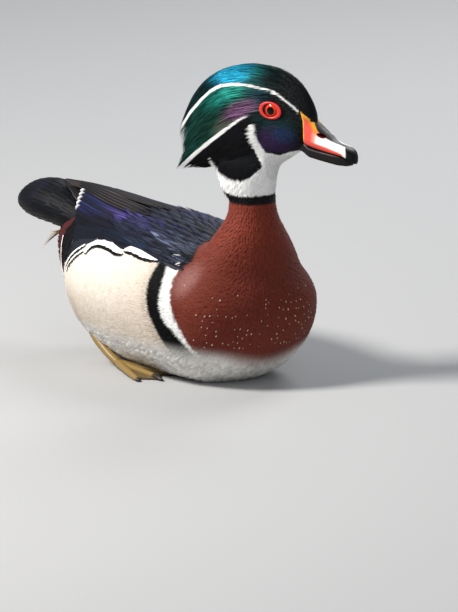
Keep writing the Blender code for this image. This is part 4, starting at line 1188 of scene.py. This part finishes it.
def make_foot(name, side, look):
    """Toes, hind toe, shank and web of one foot in one mesh."""
    base = (-6.0, 44.0, 3.2)
    points, faces = [], []
    for middle, tip in TOES:
        claw = (tip[0] + 4.5, tip[1], 1.0)
        add_loft(points, faces, rod_rings((base, middle, tip, claw), (3.0, 2.5, 2.1, 0.7)))
    add_loft(points, faces, rod_rings((base, *HIND_TOE), (2.6, 1.7, 0.8)))
    add_loft(points, faces, rod_rings((base, *SHANK), (3.1, 3.3, 4.2, 5.6)))
    first = len(points)
    add_web(points, faces)
    points = np.array(points, float) * np.array((1, side, 1))
    points[:, 2] = np.maximum(points[:, 2], FLOOR_GAP)
    foot = closed_object("foot_" + name, points, faces)
    x, y, _ = points.T
    web = (np.arange(len(points)) >= first).astype(float)
    claw = smooth(0.0, 1.5, x - 33.5 - 0.35 * (np.abs(y) > 40) * 9.5) * (1 - web)
    tint_points(foot.data, layered(even((0.24, 0.155, 0.045), len(points)),
                                   ((0.11, 0.075, 0.040), web * 0.85), ((0.020, 0.016, 0.014), claw)))
    settle(foot, look, "foot_skin", "leg_" + name)


# The coat, region by region


def bare(h):
    """Where the head carries no feathers: round the eyes and under the bill's base."""
    x, side, z = h[:, 0], np.abs(h[:, 1]), h[:, 2]
    eye = ((x / 7.9) ** 2 + ((z + 0.10 * x) / 5.5) ** 2 < 1) & (side > 9)
    return eye | ((x > along(LOBE_REAR, z)) & (z < along(LOBE_ROOF, x)))


def coat_head(skin, look):
    """The short coat of the face, and of the nape and throat."""

    def zone(points, front):
        h = body_to_head(points)
        return (points[:, 2] > HEAD_START) & ~bare(h) & (((h[:, 0] > -14) & (h[:, 2] > -62)) == front)

    coat = Coat("coat_face")
    roots = skin.sample(partial(zone, front=True), 0.98)
    size = 0.75 + 0.25 * smooth(14, -6, body_to_head(roots)[:, 0])
    small_feathers(coat, skin, roots, 3.0 * size, 0.9 * size, 0.42, camber=0.08, uneven=0.10, tilt=0.03,
                   painted_root_shade=0.08)
    coat.build(look)
    coat = Coat("coat_nape")
    roots = skin.sample(partial(zone, front=False), 1.12)
    x, _, z = body_to_head(roots).T
    size = 1 + 0.5 * smooth(-5, -30, x) * smooth(-56, -40, z)
    rise = 0.7 + 2.0 * smooth(-20, -36, x) * smooth(-63, -57, z) * smooth(-30, -40, z)
    small_feathers(coat, skin, roots, 4.2 * size, 1.15, rise, camber=0.08, uneven=0.07, tilt=0.03,
                   painted_root_shade=0.06)
    coat.build(look)


CREST_ROWS = (
    # root, middle, tip in the head's frame, for the bird's left side
    ((-30, 1.0, 25.6), (-57.5, 1.2, 12.8), (-74, 1.2, -11)),
    ((-30, 7.0, 24.3), (-57.5, 6.6, 11.4), (-75.5, 6.4, -17.5)),
    ((-30, 11.0, 21.5), (-57.5, 9.8, 6.8), (-76, 9.6, -24.5)),
    ((-31, 14.4, 13.6), (-57.5, 11.8, -2.6), (-75.5, 9.6, -28)),
    ((-31, 16.4, 5.0), (-57, 12.6, -11.0), (-74, 9.6, -36)),
    ((-31, 17.4, -4.0), (-57, 12.9, -20.0), (-74, 9.4, -42)),
    ((-31, 17.6, -12.0), (-57, 12.9, -28.0), (-80.5, 7.8, -51.5)),
    ((-31, 17.2, -21.0), (-55, 12.8, -34.5), (-76, 8.8, -49)),
    ((-31, 15.8, -30.0), (-52, 12.0, -39.5), (-69, 9.4, -47.5)),
    ((-30, 13.7, -37.0), (-47, 11.2, -43.0), (-62, 9.6, -46.0)),
)


def bent(root, middle, tip, t):
    """Points along a curve that passes the middle point half way."""
    control = 2 * middle - (root + tip) / 2
    t = t[..., None]
    return root * (1 - t) ** 2 + control * 2 * t * (1 - t) + tip * t * t


def crest_strands(coat, skin, side):
    """Long fine strands over one side of the crest; those in front hug the skin."""
    count, stations, columns = CREST_STRANDS, 8, 3
    rows = np.array(CREST_ROWS, float)
    place = RNG.uniform(0, len(rows) - 1.001, count)
    i = place.astype(int)
    share = (place - i)[:, None, None]
    lines = (rows[i] * (1 - share) + rows[i + 1] * share) * np.array((1, side, 1))
    start = RNG.uniform(-0.36, 0.66, count) - 0.22 * RNG.random(count) ** 3
    end = np.minimum(start + RNG.uniform(0.22, 0.46, count), 1.0 - 0.03 * RNG.random(count))
    s = np.linspace(0, 1, stations)
    t = start[:, None] + (end - start)[:, None] * s
    spine = bent(lines[:, None, 0], lines[:, None, 1], lines[:, None, 2], t)
    out = unit((spine - CREST_CORE) * np.array((0.15, 1.0, 0.45)) + np.array((0, side * 3.0, 0)))
    forward = unit(np.gradient(spine, axis=1))
    out = unit(out - forward * (out * forward).sum(axis=2, keepdims=True))
    across = np.cross(out, forward)
    over = RNG.uniform(0.2, 1.0, count)[:, None] * np.sin(np.pi * (0.15 + 0.75 * s)) - 0.3
    flat, away = skin.drop(head_to_body(spine))
    flat, away = body_to_head(flat), body_to_head(away + HEAD_AT)
    hug = smooth(-46.0, -32.0, spine[..., :1])
    spine = spine * (1 - hug) + (flat + away * 0.55) * hug
    drift = RNG.normal(0, 0.45, count)[:, None] * s
    spine = spine + out * over[..., None] + across * drift[..., None]
    half = CREST_WIDTH / 2 * RNG.uniform(0.7, 1.3, count)[:, None] * outline(s, "hair")
    k = np.linspace(-1, 1, columns)
    bend = (0.25 * half[..., None] * k**2)[..., None]
    points = ribbons(spine, across, half, k) - out[:, :, None, :] * bend
    colour, gloss = paint_head(spine.reshape(-1, 3))
    dark = RNG.random(count) < 0.42
    level = np.where(dark, RNG.uniform(0.12, 0.55, count), RNG.uniform(0.7, 1.35, count))
    pale = colour.min(axis=1).reshape(count, stations) > 0.3
    colour = colour.reshape(count, stations, 3) * np.where(pale, 1.0, level[:, None])[..., None]
    colour, gloss = over_columns(colour, gloss, (count, stations, columns))
    coat.add(head_to_body(points), colour, gloss, head_to_body(spine[:, 0]))


def coat_crest(skin, look):
    coat = Coat("coat_crest_right")
    crest_strands(coat, skin, -1)
    crest_middle(coat)
    coat.build(look, "crest")
    coat = Coat("coat_crest_left")
    crest_strands(coat, skin, 1)
    coat.build(look)


def crest_middle(coat):
    """Strands inside the crest, so it isn't hollow between its two sides."""
    count, stations, columns = 500, 7, 3
    share = RNG.uniform(0, 1, count)[:, None]
    y = RNG.uniform(-8.5, 8.5, count)[:, None]
    root = np.hstack([np.full((count, 1), -42.0), y, 14.0 - 52.0 * share])
    tip = np.hstack([-71.0 - 5.0 * share, y * 0.8, -14.0 - 33.0 * share])
    middle = (root + tip) / 2 + np.hstack([-5.0 + 3.0 * share, y * 0, 6.0 - 4 * share])
    t = np.linspace(0, 1, stations)
    spine = bent(root[:, None], middle[:, None], tip[:, None], np.broadcast_to(t, (count, stations)))
    across = unit(np.cross(np.array((0.0, 1.0, 0.0)), unit(np.gradient(spine, axis=1))))
    points = ribbons(spine, across, 0.55 * outline(t, "hair"), np.linspace(-1, 1, columns))
    colour, gloss = over_columns(*paint_head(spine.reshape(-1, 3), False), (count, stations, columns))
    # painted shade: the strands inside the crest are darkened to 0.8
    coat.add(head_to_body(points), colour * 0.8, gloss, head_to_body(spine[:, 0]))


def wing_zone(points):
    """The part of the body that the folded wings and the back feathers cover."""
    x, _, z = points.T
    return (z > along(FLANK_TOP, x) + 2.0) & (x < along(BLACK_BAR_BACK, z) + 1.0) & (x > -66)


def coat_breast(skin, look):
    """The chestnut breast, with small pale flecks scattered over it."""

    def zone(points):
        x, _, z = points.T
        return (x > along(CHESTNUT_EDGE, z) - 1.0) & (z > 8) & (z < 130)

    def fleck_zone(points):
        x, _, z = points.T
        return (x > along(CHESTNUT_EDGE, z) + 6) & (z > 30) & (z < 88)

    def fleck_colour(points):
        return even((0.62, 0.46, 0.38), len(points)), np.zeros(len(points))

    coat = Coat("coat_breast")
    roots = skin.sample(zone, 1.45)
    size = 0.85 + 0.5 * smooth(115, 70, roots[:, 2])
    small_feathers(coat, skin, roots, 4.6 * size, 1.85 * size, 0.75, "round", camber=0.10, uneven=0.11,
                   tilt=0.03, painted_root_shade=0.14)
    roots = skin.sample(fleck_zone, 4.6)
    x, _, z = roots.T
    keep = RNG.random(len(roots)) < 0.02 + 0.5 * smooth(78, 50, z) * smooth(78, 104, x)
    size = RNG.uniform(0.6, 1.15, keep.sum())
    small_feathers(coat, skin, roots[keep], 1.2 * size, 0.75 * size, 1.15, "round", fleck_colour,
                   sink=-0.95)
    coat.build(look)


def coat_bars(skin, look):
    """The white and black bars before the flank, of fine narrow feathers."""

    def zone(points):
        x, _, z = points.T
        between = (x <= along(CHESTNUT_EDGE, z) + 1) & (x > along(BLACK_BAR_BACK, z) - 1.5)
        return between & (z < 100) & (z > 20)

    coat = Coat("coat_bars")
    small_feathers(coat, skin, skin.sample(zone, 1.25), 5.2, 1.05, 0.85, camber=0.1, uneven=0.08)
    coat.build(look)


def coat_flanks(skin, look):
    """The cream flank: broad feathers under a fine top layer that rises towards the rear."""

    def zone(points):
        x, _, z = points.T
        return (x <= along(BLACK_BAR_BACK, z)) & (z < along(FLANK_TOP, x) - 0.5) & (z > 22) & (x > -66)

    coat = Coat("coat_flanks")
    small_feathers(coat, skin, skin.sample(zone, 3.4), 13.0, 7.5, 0.45, "round", stations=7, columns=5,
                   wander=0.04, camber=0.06, uneven=0.04, tilt=0.02, painted_root_shade=0.06)
    roots = skin.sample(zone, 1.75)
    x, _, z = roots.T
    length = 7.5 - 3.0 * smooth(12, 4, along(FLANK_TOP, x) - z)
    rise = 0.6 + 1.3 * smooth(-25, -58, x)
    small_feathers(coat, skin, roots, length, 1.25, rise, wander=0.07, camber=0.04, uneven=0.05, tilt=0.02,
                   painted_root_shade=0.03)
    coat.build(look, "flank_right", "flank_left")


def edge_band(coat, skin, side, upper, lower, height, colour):
    """A long curved feather edge laid over the flank between two curves of x and z."""
    stations, columns = 46, 5
    t = np.linspace(0, 1, stations)
    edges = []
    for curve in (upper, lower):
        table = np.column_stack([np.linspace(0, 1, len(curve)), curve])
        edges.append(curve_through(table, t)[:, None, 1:])
    share = np.linspace(0, 1, columns)[None, :, None]
    flat = edges[0] * (1 - share) + edges[1] * share
    flat[:, -1] += RNG.normal(0, 0.16, (stations, 2))
    points = np.empty((stations, columns, 3))
    for i, j in np.ndindex(stations, columns):
        x, z = flat[i, j]
        place, normal, _, _ = skin.tree.ray_cast(Vector((x, side * 120.0, z)), Vector((0, -side, 0)))
        curl = 0.35 * math.sin(math.pi * (0.1 + 0.8 * j / (columns - 1)))
        points[i, j] = np.array(place) + np.array(normal) * (height + curl)
    tint = np.broadcast_to(np.array(colour), points.shape)
    coat.add(points[None], tint[None], np.zeros((1, stations, columns)), points[None, 0, 0])


def coat_crescents(skin, look):
    """White edges along the top of the flank, each over a black one that reaches a little lower."""
    coat = Coat("coat_crescents")
    for side in (-1, 1):
        for upper, lower, thick in CRESCENTS:
            drops = thick * np.array((0.5, *(1.0,) * (len(lower) - 2), 0.5))
            under = [(x - 0.3, z - drop) for (x, z), drop in zip(lower, drops)]
            edge_band(coat, skin, side, upper, under, 1.15, BLACK)
            edge_band(coat, skin, side, upper, lower, 1.55, WHITE)
    coat.build(look)


def coat_belly(skin, look):
    """The white belly, the rear of the body and the thin white line before it."""

    def low(points):
        return (points[:, 2] <= 23) & (points[:, 0] < 104)

    def rear(points):
        x, _, z = points.T
        return (x <= -58) & (z > 22) & (z < 96)

    coat = Coat("coat_belly")
    small_feathers(coat, skin, skin.sample(low, 3.4), 10.0, 5.5, 1.2, "round")
    roots = skin.sample(rear, 1.9)
    x, _, z = roots.T
    rise = 0.9 + 1.6 * smooth(40, 55, z) * smooth(82, 76, z) * smooth(-108, -96, x)
    small_feathers(coat, skin, roots, 6.5, 1.9, rise, camber=0.1)
    for side in (-1, 1):
        front, back = ([(x + by, z) for z, x in REAR_LINE[1:5]] for by in (0.8, -0.6))
        edge_band(coat, skin, side, front, back, 2.5, WHITE)
    coat.build(look)


# Wings and tail: vanes laid on the tables' surfaces


def table_vane(coat, table, side, root, tip, width, lift, colour_of, kind="broad", bow=0.0, columns=9, *,
               stations):
    """A long feather on a table's surface, from root to tip, which are x and degrees up from the side."""
    t, k = np.linspace(0, 1, stations), np.linspace(-1, 1, columns)
    x = root[0] + (tip[0] - root[0]) * t
    degrees = root[1] + (tip[1] - root[1]) * t + bow * np.sin(math.pi * t)
    _, per_degree = surface_normal(table, x, degrees, side)
    half = width / 2 * outline(t, kind)
    turn = degrees[:, None] + (half / per_degree)[:, None] * k
    places = np.broadcast_to(x[:, None], turn.shape)
    normal, _ = surface_normal(table, places, turn, side)
    over = lift[0] + (lift[1] - lift[0]) * t
    ridge = 0.10 * np.exp(-(k / 0.10) ** 2)
    over = over[:, None] - VANE_CAMBER * half[:, None] * k**2 + ridge
    points = surface(table, places, turn, side) + normal * over[..., None]
    colour, gloss = colour_of(points, t[:, None] * np.ones_like(turn), np.broadcast_to(k, turn.shape))
    colour = colour * RNG.uniform(0.88, 1.12)
    coat.add(points[None], colour[None], gloss[None], points[None, 0, columns // 2])


def streaked(base, points, spots):
    """Dark iridescent colour with fine bright streaks; each spot is (place, size, colour, how much)."""
    x, y, _ = points.reshape(-1, 3).T
    colour = even(np.array(base) * RNG.uniform(0.6, 1.5), len(x))
    for place, size, tone, most in spots:
        line = RNG.random(points.shape[1]) ** 2.6 * (0.15 + 0.85 * (RNG.random() < 0.45))
        line = np.broadcast_to(line, points.shape[:2]).ravel()
        colour = mix(colour, tone, blot(x, np.abs(y), place, size, 0.0, 0.85) * line * most)
    return colour.reshape(points.shape), np.full(points.shape[:-1], BACK_GLOSS)


# Streaks on the back feathers: place, size, colour, how much; the first, pale blue, is partly the
# feathers' blue gloss, partly painted highlight
BACK_SPOTS = (
    ((26, 31), (33, 9), (0.26, 0.31, 0.50), 0.85),
    ((50, 30), (14, 14), (0.10, 0.12, 0.14), 0.8),
    ((16, 46), (30, 8), (0.02, 0.06, 0.12), 0.5),
    ((-26, 23), (24, 8), (0.14, 0.10, 0.46), 0.95),
    ((5, 20), (36, 10), (0.040, 0.032, 0.16), 0.8),
    ((20, 5), (40, 12), (0.045, 0.055, 0.11), 0.7),
)
TERTIAL_SPOTS = (
    ((-28, 23), (26, 8), (0.14, 0.10, 0.46), 0.9),
    ((-72, 20), (20, 12), (0.020, 0.030, 0.14), 1.2),
    ((-10, 36), (26, 8), (0.03, 0.05, 0.14), 0.6),
)


def plain_back(points, t, k):
    colour, gloss = streaked((0.007, 0.008, 0.016), points, BACK_SPOTS)
    rim = smooth(0.80, 1.0, np.maximum(np.abs(k), t))
    return colour * (1 - 0.5 * rim[..., None]), gloss


def tertial_colour(points, t, k):
    colour, gloss = streaked((0.005, 0.005, 0.009), points, TERTIAL_SPOTS)
    rim = smooth(0.86, 0.98, np.abs(k))
    white = smooth(0.982, 0.990, t) * (points[..., 0] < -78)
    return mix(colour * (1 - 0.6 * rim[..., None]), WHITE, white), gloss


def secondary_colour(points, t, k):
    return np.broadcast_to(np.array((0.006, 0.007, 0.014)), points.shape), np.full(t.shape, 0.2)


def primary_colour(points, t, k):
    edge = smooth(0.72, 0.95, np.abs(k)) * smooth(0.05, 0.2, t)
    return mix(np.array((0.009, 0.008, 0.009)), (0.14, 0.105, 0.09), edge), np.full(t.shape, 0.1)


TERTIALS = (
    ((4, 49), (-61, 41.5), 10.0), ((4, 52.5), (-66, 45), 11.0), ((4, 56), (-71, 48), 11.5),
    ((3, 60), (-75, 51.5), 12.0), ((2, 64), (-80, 55), 12.5), ((1, 68), (-84, 59.5), 13.0),
    ((0, 72), (-88, 64), 13.0), ((0, 76), (-92, 69.5), 13.0), ((0, 80), (-96, 75), 13.0),
    ((0, 87.5), (-103, 84), 12.0),
)
PRIMARIES = (
    ((-38, 64), (-106, 66), 7.0), ((-38, 66), (-109, 68), 7.0), ((-38, 68), (-112, 70), 7.0),
    ((-38, 70), (-115, 72), 6.8), ((-38, 72), (-118, 74), 6.5), ((-38, 74), (-121, 77), 6.2),
    ((-38, 76), (-123, 79), 6.0), ((-38, 78), (-125, 81), 5.8), ((-38, 81), (-127, 83), 5.5),
)
# Rows of back feathers: the tips' x, the lowest's degrees, the step between them, count, length, width
WING_ROWS = (
    (-24.0, 45.0, 3.7, 12, 22.0, 8.5), (-8.0, 43.0, 3.7, 12, 20.0, 8.0),
    (8.0, 43.0, 3.6, 13, 18.0, 7.5), (23.0, 42.0, 3.6, 13, 17.0, 7.0), (36.0, 42.0, 3.6, 13, 16.0, 7.0),
    (46.0, 41.0, 3.6, 13, 15.0, 6.5),
)


def coat_wing(name, side, look):
    """One folded wing, from the longest feathers underneath to the scapulars on top."""
    coat = Coat("coat_wing_" + name)
    vane = partial(table_vane, coat, OUTER, side)
    for i, (root, tip, width) in enumerate(PRIMARIES):
        vane(root, tip, width, (-2.6 + 0.08 * i, -2.9), primary_colour, stations=20)
    for i in range(9):
        share = i / 8
        root, tip = (10.0, 39.5 + 8.5 * share), (-53.0 - 6.0 * share, 29.0 + 9.0 * share)
        vane(root, tip, 8.0, (-1.6, -1.2 + 0.12 * i), secondary_colour, bow=3.5, stations=24)
    for i, (root, tip, width) in enumerate(TERTIALS):
        vane(root, tip, width, (-1.4, -0.7 + 0.09 * i), tertial_colour, stations=22, columns=11)
    for tip_x, low, step, count, length, width in WING_ROWS:
        for i in range(count):
            degrees = low + step * (i + RNG.uniform(-0.2, 0.2))
            x = tip_x + RNG.uniform(-4.0, 4.0)
            vane((x + length * 1.25, degrees + 1), (x, degrees), width * 0.85,
                 (-1.6, RNG.uniform(-0.15, 0.35)), plain_back, "soft", stations=10)
    for i in range(4):
        vane((-24 + 4 * i, 87.5 - 3.2 * i), (-127 + 3.5 * i, 88 - 3 * i), 4.4,
             (0.55 - 0.2 * i, 0.9 - 0.25 * i), primary_colour, stations=22)
    for row in range(7):
        for i in range(6):
            degrees = 62 + 5.2 * i
            x = 38.0 - 12.0 * row - 4.0 * (i % 2) + RNG.uniform(-4.0, 4.0)
            vane((x + 26, degrees + 1), (x, degrees), 8.5, (-1.2, RNG.uniform(0.1, 0.6)), plain_back,
                 "soft", stations=10)
    coat.build(look, "wing_" + name)


def tail_colour(points, t, k):
    sheen = smooth(0.7, 0.0, t) * RNG.uniform(0.1, 0.9)
    return mix(np.array((0.0045, 0.0050, 0.0070)), (0.012, 0.015, 0.045), sheen), np.full(t.shape, 0.08)


def under_colour(points, t, k):
    return np.broadcast_to(np.array((0.009, 0.007, 0.007)), points.shape), np.full(t.shape, 0.1)


def coat_tail(look):
    """The tail's fan and its coverts, above and then below, with the buff plumes at its base."""
    coat = Coat("coat_tail")
    for side in (-1, 1):
        vane = partial(table_vane, coat, TAIL, side)
        for i in range(8):
            degrees, x = 84.0 - i * 11.5, -169.8 + 0.22 * i * i
            vane((-118, degrees), (x, degrees - 2), 8.0, (-2.4 + 0.1 * i, -0.3 - 0.06 * i), tail_colour,
                 stations=18)
        for row in range(3):
            for i in range(9):
                degrees = 82.0 - i * 12.0 + 5 * (row % 2)
                x = -136.0 + 13.0 * row + RNG.uniform(-2, 2)
                vane((x + 30, degrees), (x, degrees - 2), 8.5, (-1.5, -0.1 + 0.18 * row), tail_colour,
                     "round", stations=9, columns=5)
        for i in range(7):
            degrees, x = -84.0 + i * 12.0, -169.2 + 0.22 * i * i
            vane((-120, degrees), (x, degrees), 8.5, (-2.3 + 0.1 * i, -0.4 - 0.06 * i), tail_colour,
                 stations=18)
        for row in range(5):
            for i in range(6):
                degrees = -84.0 + i * 14.0 + 6 * (row % 2)
                x = -152.0 + 12.0 * row + RNG.uniform(-2, 2)
                vane((x + 26, degrees), (x, degrees), 8.5, (-1.6, -0.5 + 0.15 * row), under_colour,
                     "round", stations=8, columns=5)
        plumes(coat, side)
    coat.build(look, "tail")


def plumes(coat, side):
    """The buff plumes that hang beside the base of the tail."""
    count, stations, columns = 26, 9, 3
    spread = RNG.uniform(-1, 1, count)[:, None]
    root = np.array((-93.0, 12.0, 80.0)) + spread * np.array((5.0, 1.0, 3.5))
    middle = np.array((-106.0, 19.6, 73.0)) + spread * np.array((3.5, 0.4, 2.2))
    tip = np.array((-120.0, 22.0, 64.5)) + spread * np.array((6.5, 0.4, 8.0))
    t = np.linspace(0, 1, stations)
    spine = bent(root[:, None], middle[:, None], tip[:, None], np.broadcast_to(t, (count, stations)))
    spine = spine * np.array((1, side, 1))
    out = unit(np.array((-0.2, side * 1.0, 0.3)))
    across = unit(np.cross(out, unit(np.gradient(spine, axis=1))))
    points = ribbons(spine, across, 0.32 * outline(t, "hair"), np.linspace(-1, 1, columns))
    points = points + out * RNG.uniform(-0.3, 0.5, count)[:, None, None, None]
    colour = np.where(RNG.random(count)[:, None] < 0.7, (0.42, 0.24, 0.09), (0.10, 0.03, 0.02))
    colour = np.broadcast_to(colour[:, None, None, :], points.shape)
    coat.add(points, colour, np.zeros(points.shape[:3]), spine[:, 0])


# Stage, lights and camera


PIXELS_PER_MM = 1.5
ANCHOR = (0.0 - ORIGIN_X, 0.0, 42.0)
ANCHOR_PIXEL = (177.4, 299.2)
PICTURE = (458, 612)
AZIMUTH = math.radians(54.0)
ELEVATION = math.radians(12.0)
DISTANCE = 12.0
SENSOR = 36.0
CLIP_END = 200.0
FLOOR_HALF = 6000
LAMP_AIM = (0.0, 0.0, 0.09)


def add_to_scene(name, data, place, way):
    """A camera or lamp at a place, looking along a way."""
    made = bpy.data.objects.new(name, data)
    made.location = place
    made.rotation_euler = Vector(way).to_track_quat("-Z", "Y").to_euler()
    bpy.context.scene.collection.objects.link(made)
    return made


def make_camera():
    back = np.array((math.sin(AZIMUTH) * math.cos(ELEVATION), -math.cos(AZIMUTH) * math.cos(ELEVATION),
                     math.sin(ELEVATION)))
    right = np.array((math.cos(AZIMUTH), math.sin(AZIMUTH), 0.0))
    up = np.cross(back, right)
    target = np.array(ANCHOR) * MM
    target = target + right * (PICTURE[0] / 2 - ANCHOR_PIXEL[0]) / PIXELS_PER_MM * MM
    target = target - up * (PICTURE[1] / 2 - ANCHOR_PIXEL[1]) / PIXELS_PER_MM * MM
    data = bpy.data.cameras.new("camera")
    data.lens = SENSOR * DISTANCE / (PICTURE[1] / PIXELS_PER_MM * MM)
    data.clip_end = CLIP_END
    bpy.context.scene.camera = add_to_scene("camera", data, target + back * DISTANCE, -back)


def make_floor():
    corners = [(x * FLOOR_HALF, y * FLOOR_HALF, 0) for x, y in ((-1, -1), (1, -1), (1, 1), (-1, 1))]
    floor = new_object("floor", corners, [(0, 1, 2, 3)], False)
    look, tree, shader = new_look("studio_floor")
    plug(tree, shader, Base_Color=(0.42, 0.42, 0.42, 1), Roughness=0.9)
    floor.data.materials.append(look)


def area_light(name, place, size, power, colour):
    data = bpy.data.lights.new(name, "AREA")
    data.shape = "DISK"
    data.size = size
    data.energy = power
    data.color = colour
    add_to_scene(name, data, place, Vector(LAMP_AIM) - Vector(place))


def make_lights():
    world = bpy.data.worlds.new("studio")
    world.use_nodes = True
    plug(world.node_tree, world.node_tree.nodes["Background"], Color=(0.78, 0.83, 0.90, 1), Strength=0.36)
    bpy.context.scene.world = world
    area_light("key", (-0.35, -1.15, 1.35), 0.5, 48.0, (1.0, 0.97, 0.93))
    area_light("front", (1.5, -0.5, 0.7), 1.2, 4.0, (0.95, 0.97, 1.0))
    area_light("rim", (-0.6, 1.2, 1.1), 0.8, 14.0, (0.95, 0.97, 1.0))


def plain_tones():
    settings = bpy.context.scene.view_settings
    settings.view_transform = "Standard"
    settings.look = "None"


# The whole bird


def paint_skin(obj):
    """The skin under the coat: darker than it as painted shade between the feathers, darkest under the
    wings, and red round the eyes.
    """
    points = object_points(obj)
    colour, _ = paint(points)
    colour[wing_zone(points)] = UNDER_WING
    h = body_to_head(points)
    colour[(np.hypot(h[:, 0] / 7.0, h[:, 2] / 5.0) < 1) & (np.abs(h[:, 1]) > 9)] = LID_RIM
    tint_points(obj.data, colour * SKIN_SHADE)


def main():
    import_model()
    skin = make_skin()
    paint_skin(skin)
    settle(skin, tinted_look("skin", 0.75), "feathers", "torso", "neck", "head")
    body = Body(skin)
    eye = tinted_look("eye", 0.05, 0.0, specular=0.16)
    flesh = tinted_look("eyelid", 0.42, 0.2, 900.0)
    horn = tinted_look("bill", 0.45, 0.04, 500.0, 0.00006, 0.16)
    leg = tinted_look("foot", 0.5, 0.1, 700.0, 0.0003)
    for word, side in (("right", -1), ("left", 1)):
        make_eye(word, side, eye)
        make_lids("lids_" + word, side, flesh)
        make_foot(word, side, leg)
    make_bill(horn, body)
    soft = feather_look("soft_feathers", 0.70, 30.0)
    lined = feather_look("flank_feathers", 0.75, 40.0, fine=0.10, relief=0.05)
    firm = feather_look("wing_feathers", 0.52, 300.0, 0.0, relief=0.10)
    coat_head(body, soft)
    coat_crest(body, soft)
    coat_breast(body, feather_look("breast_feathers", 0.62, 30.0, sheen=0.12))
    coat_bars(body, soft)
    coat_flanks(body, lined)
    coat_crescents(body, soft)
    coat_belly(body, soft)
    coat_wing("right", -1, firm)
    coat_wing("left", 1, firm)
    coat_tail(firm)
    make_floor()
    make_lights()
    make_camera()
    plain_tones()


main()
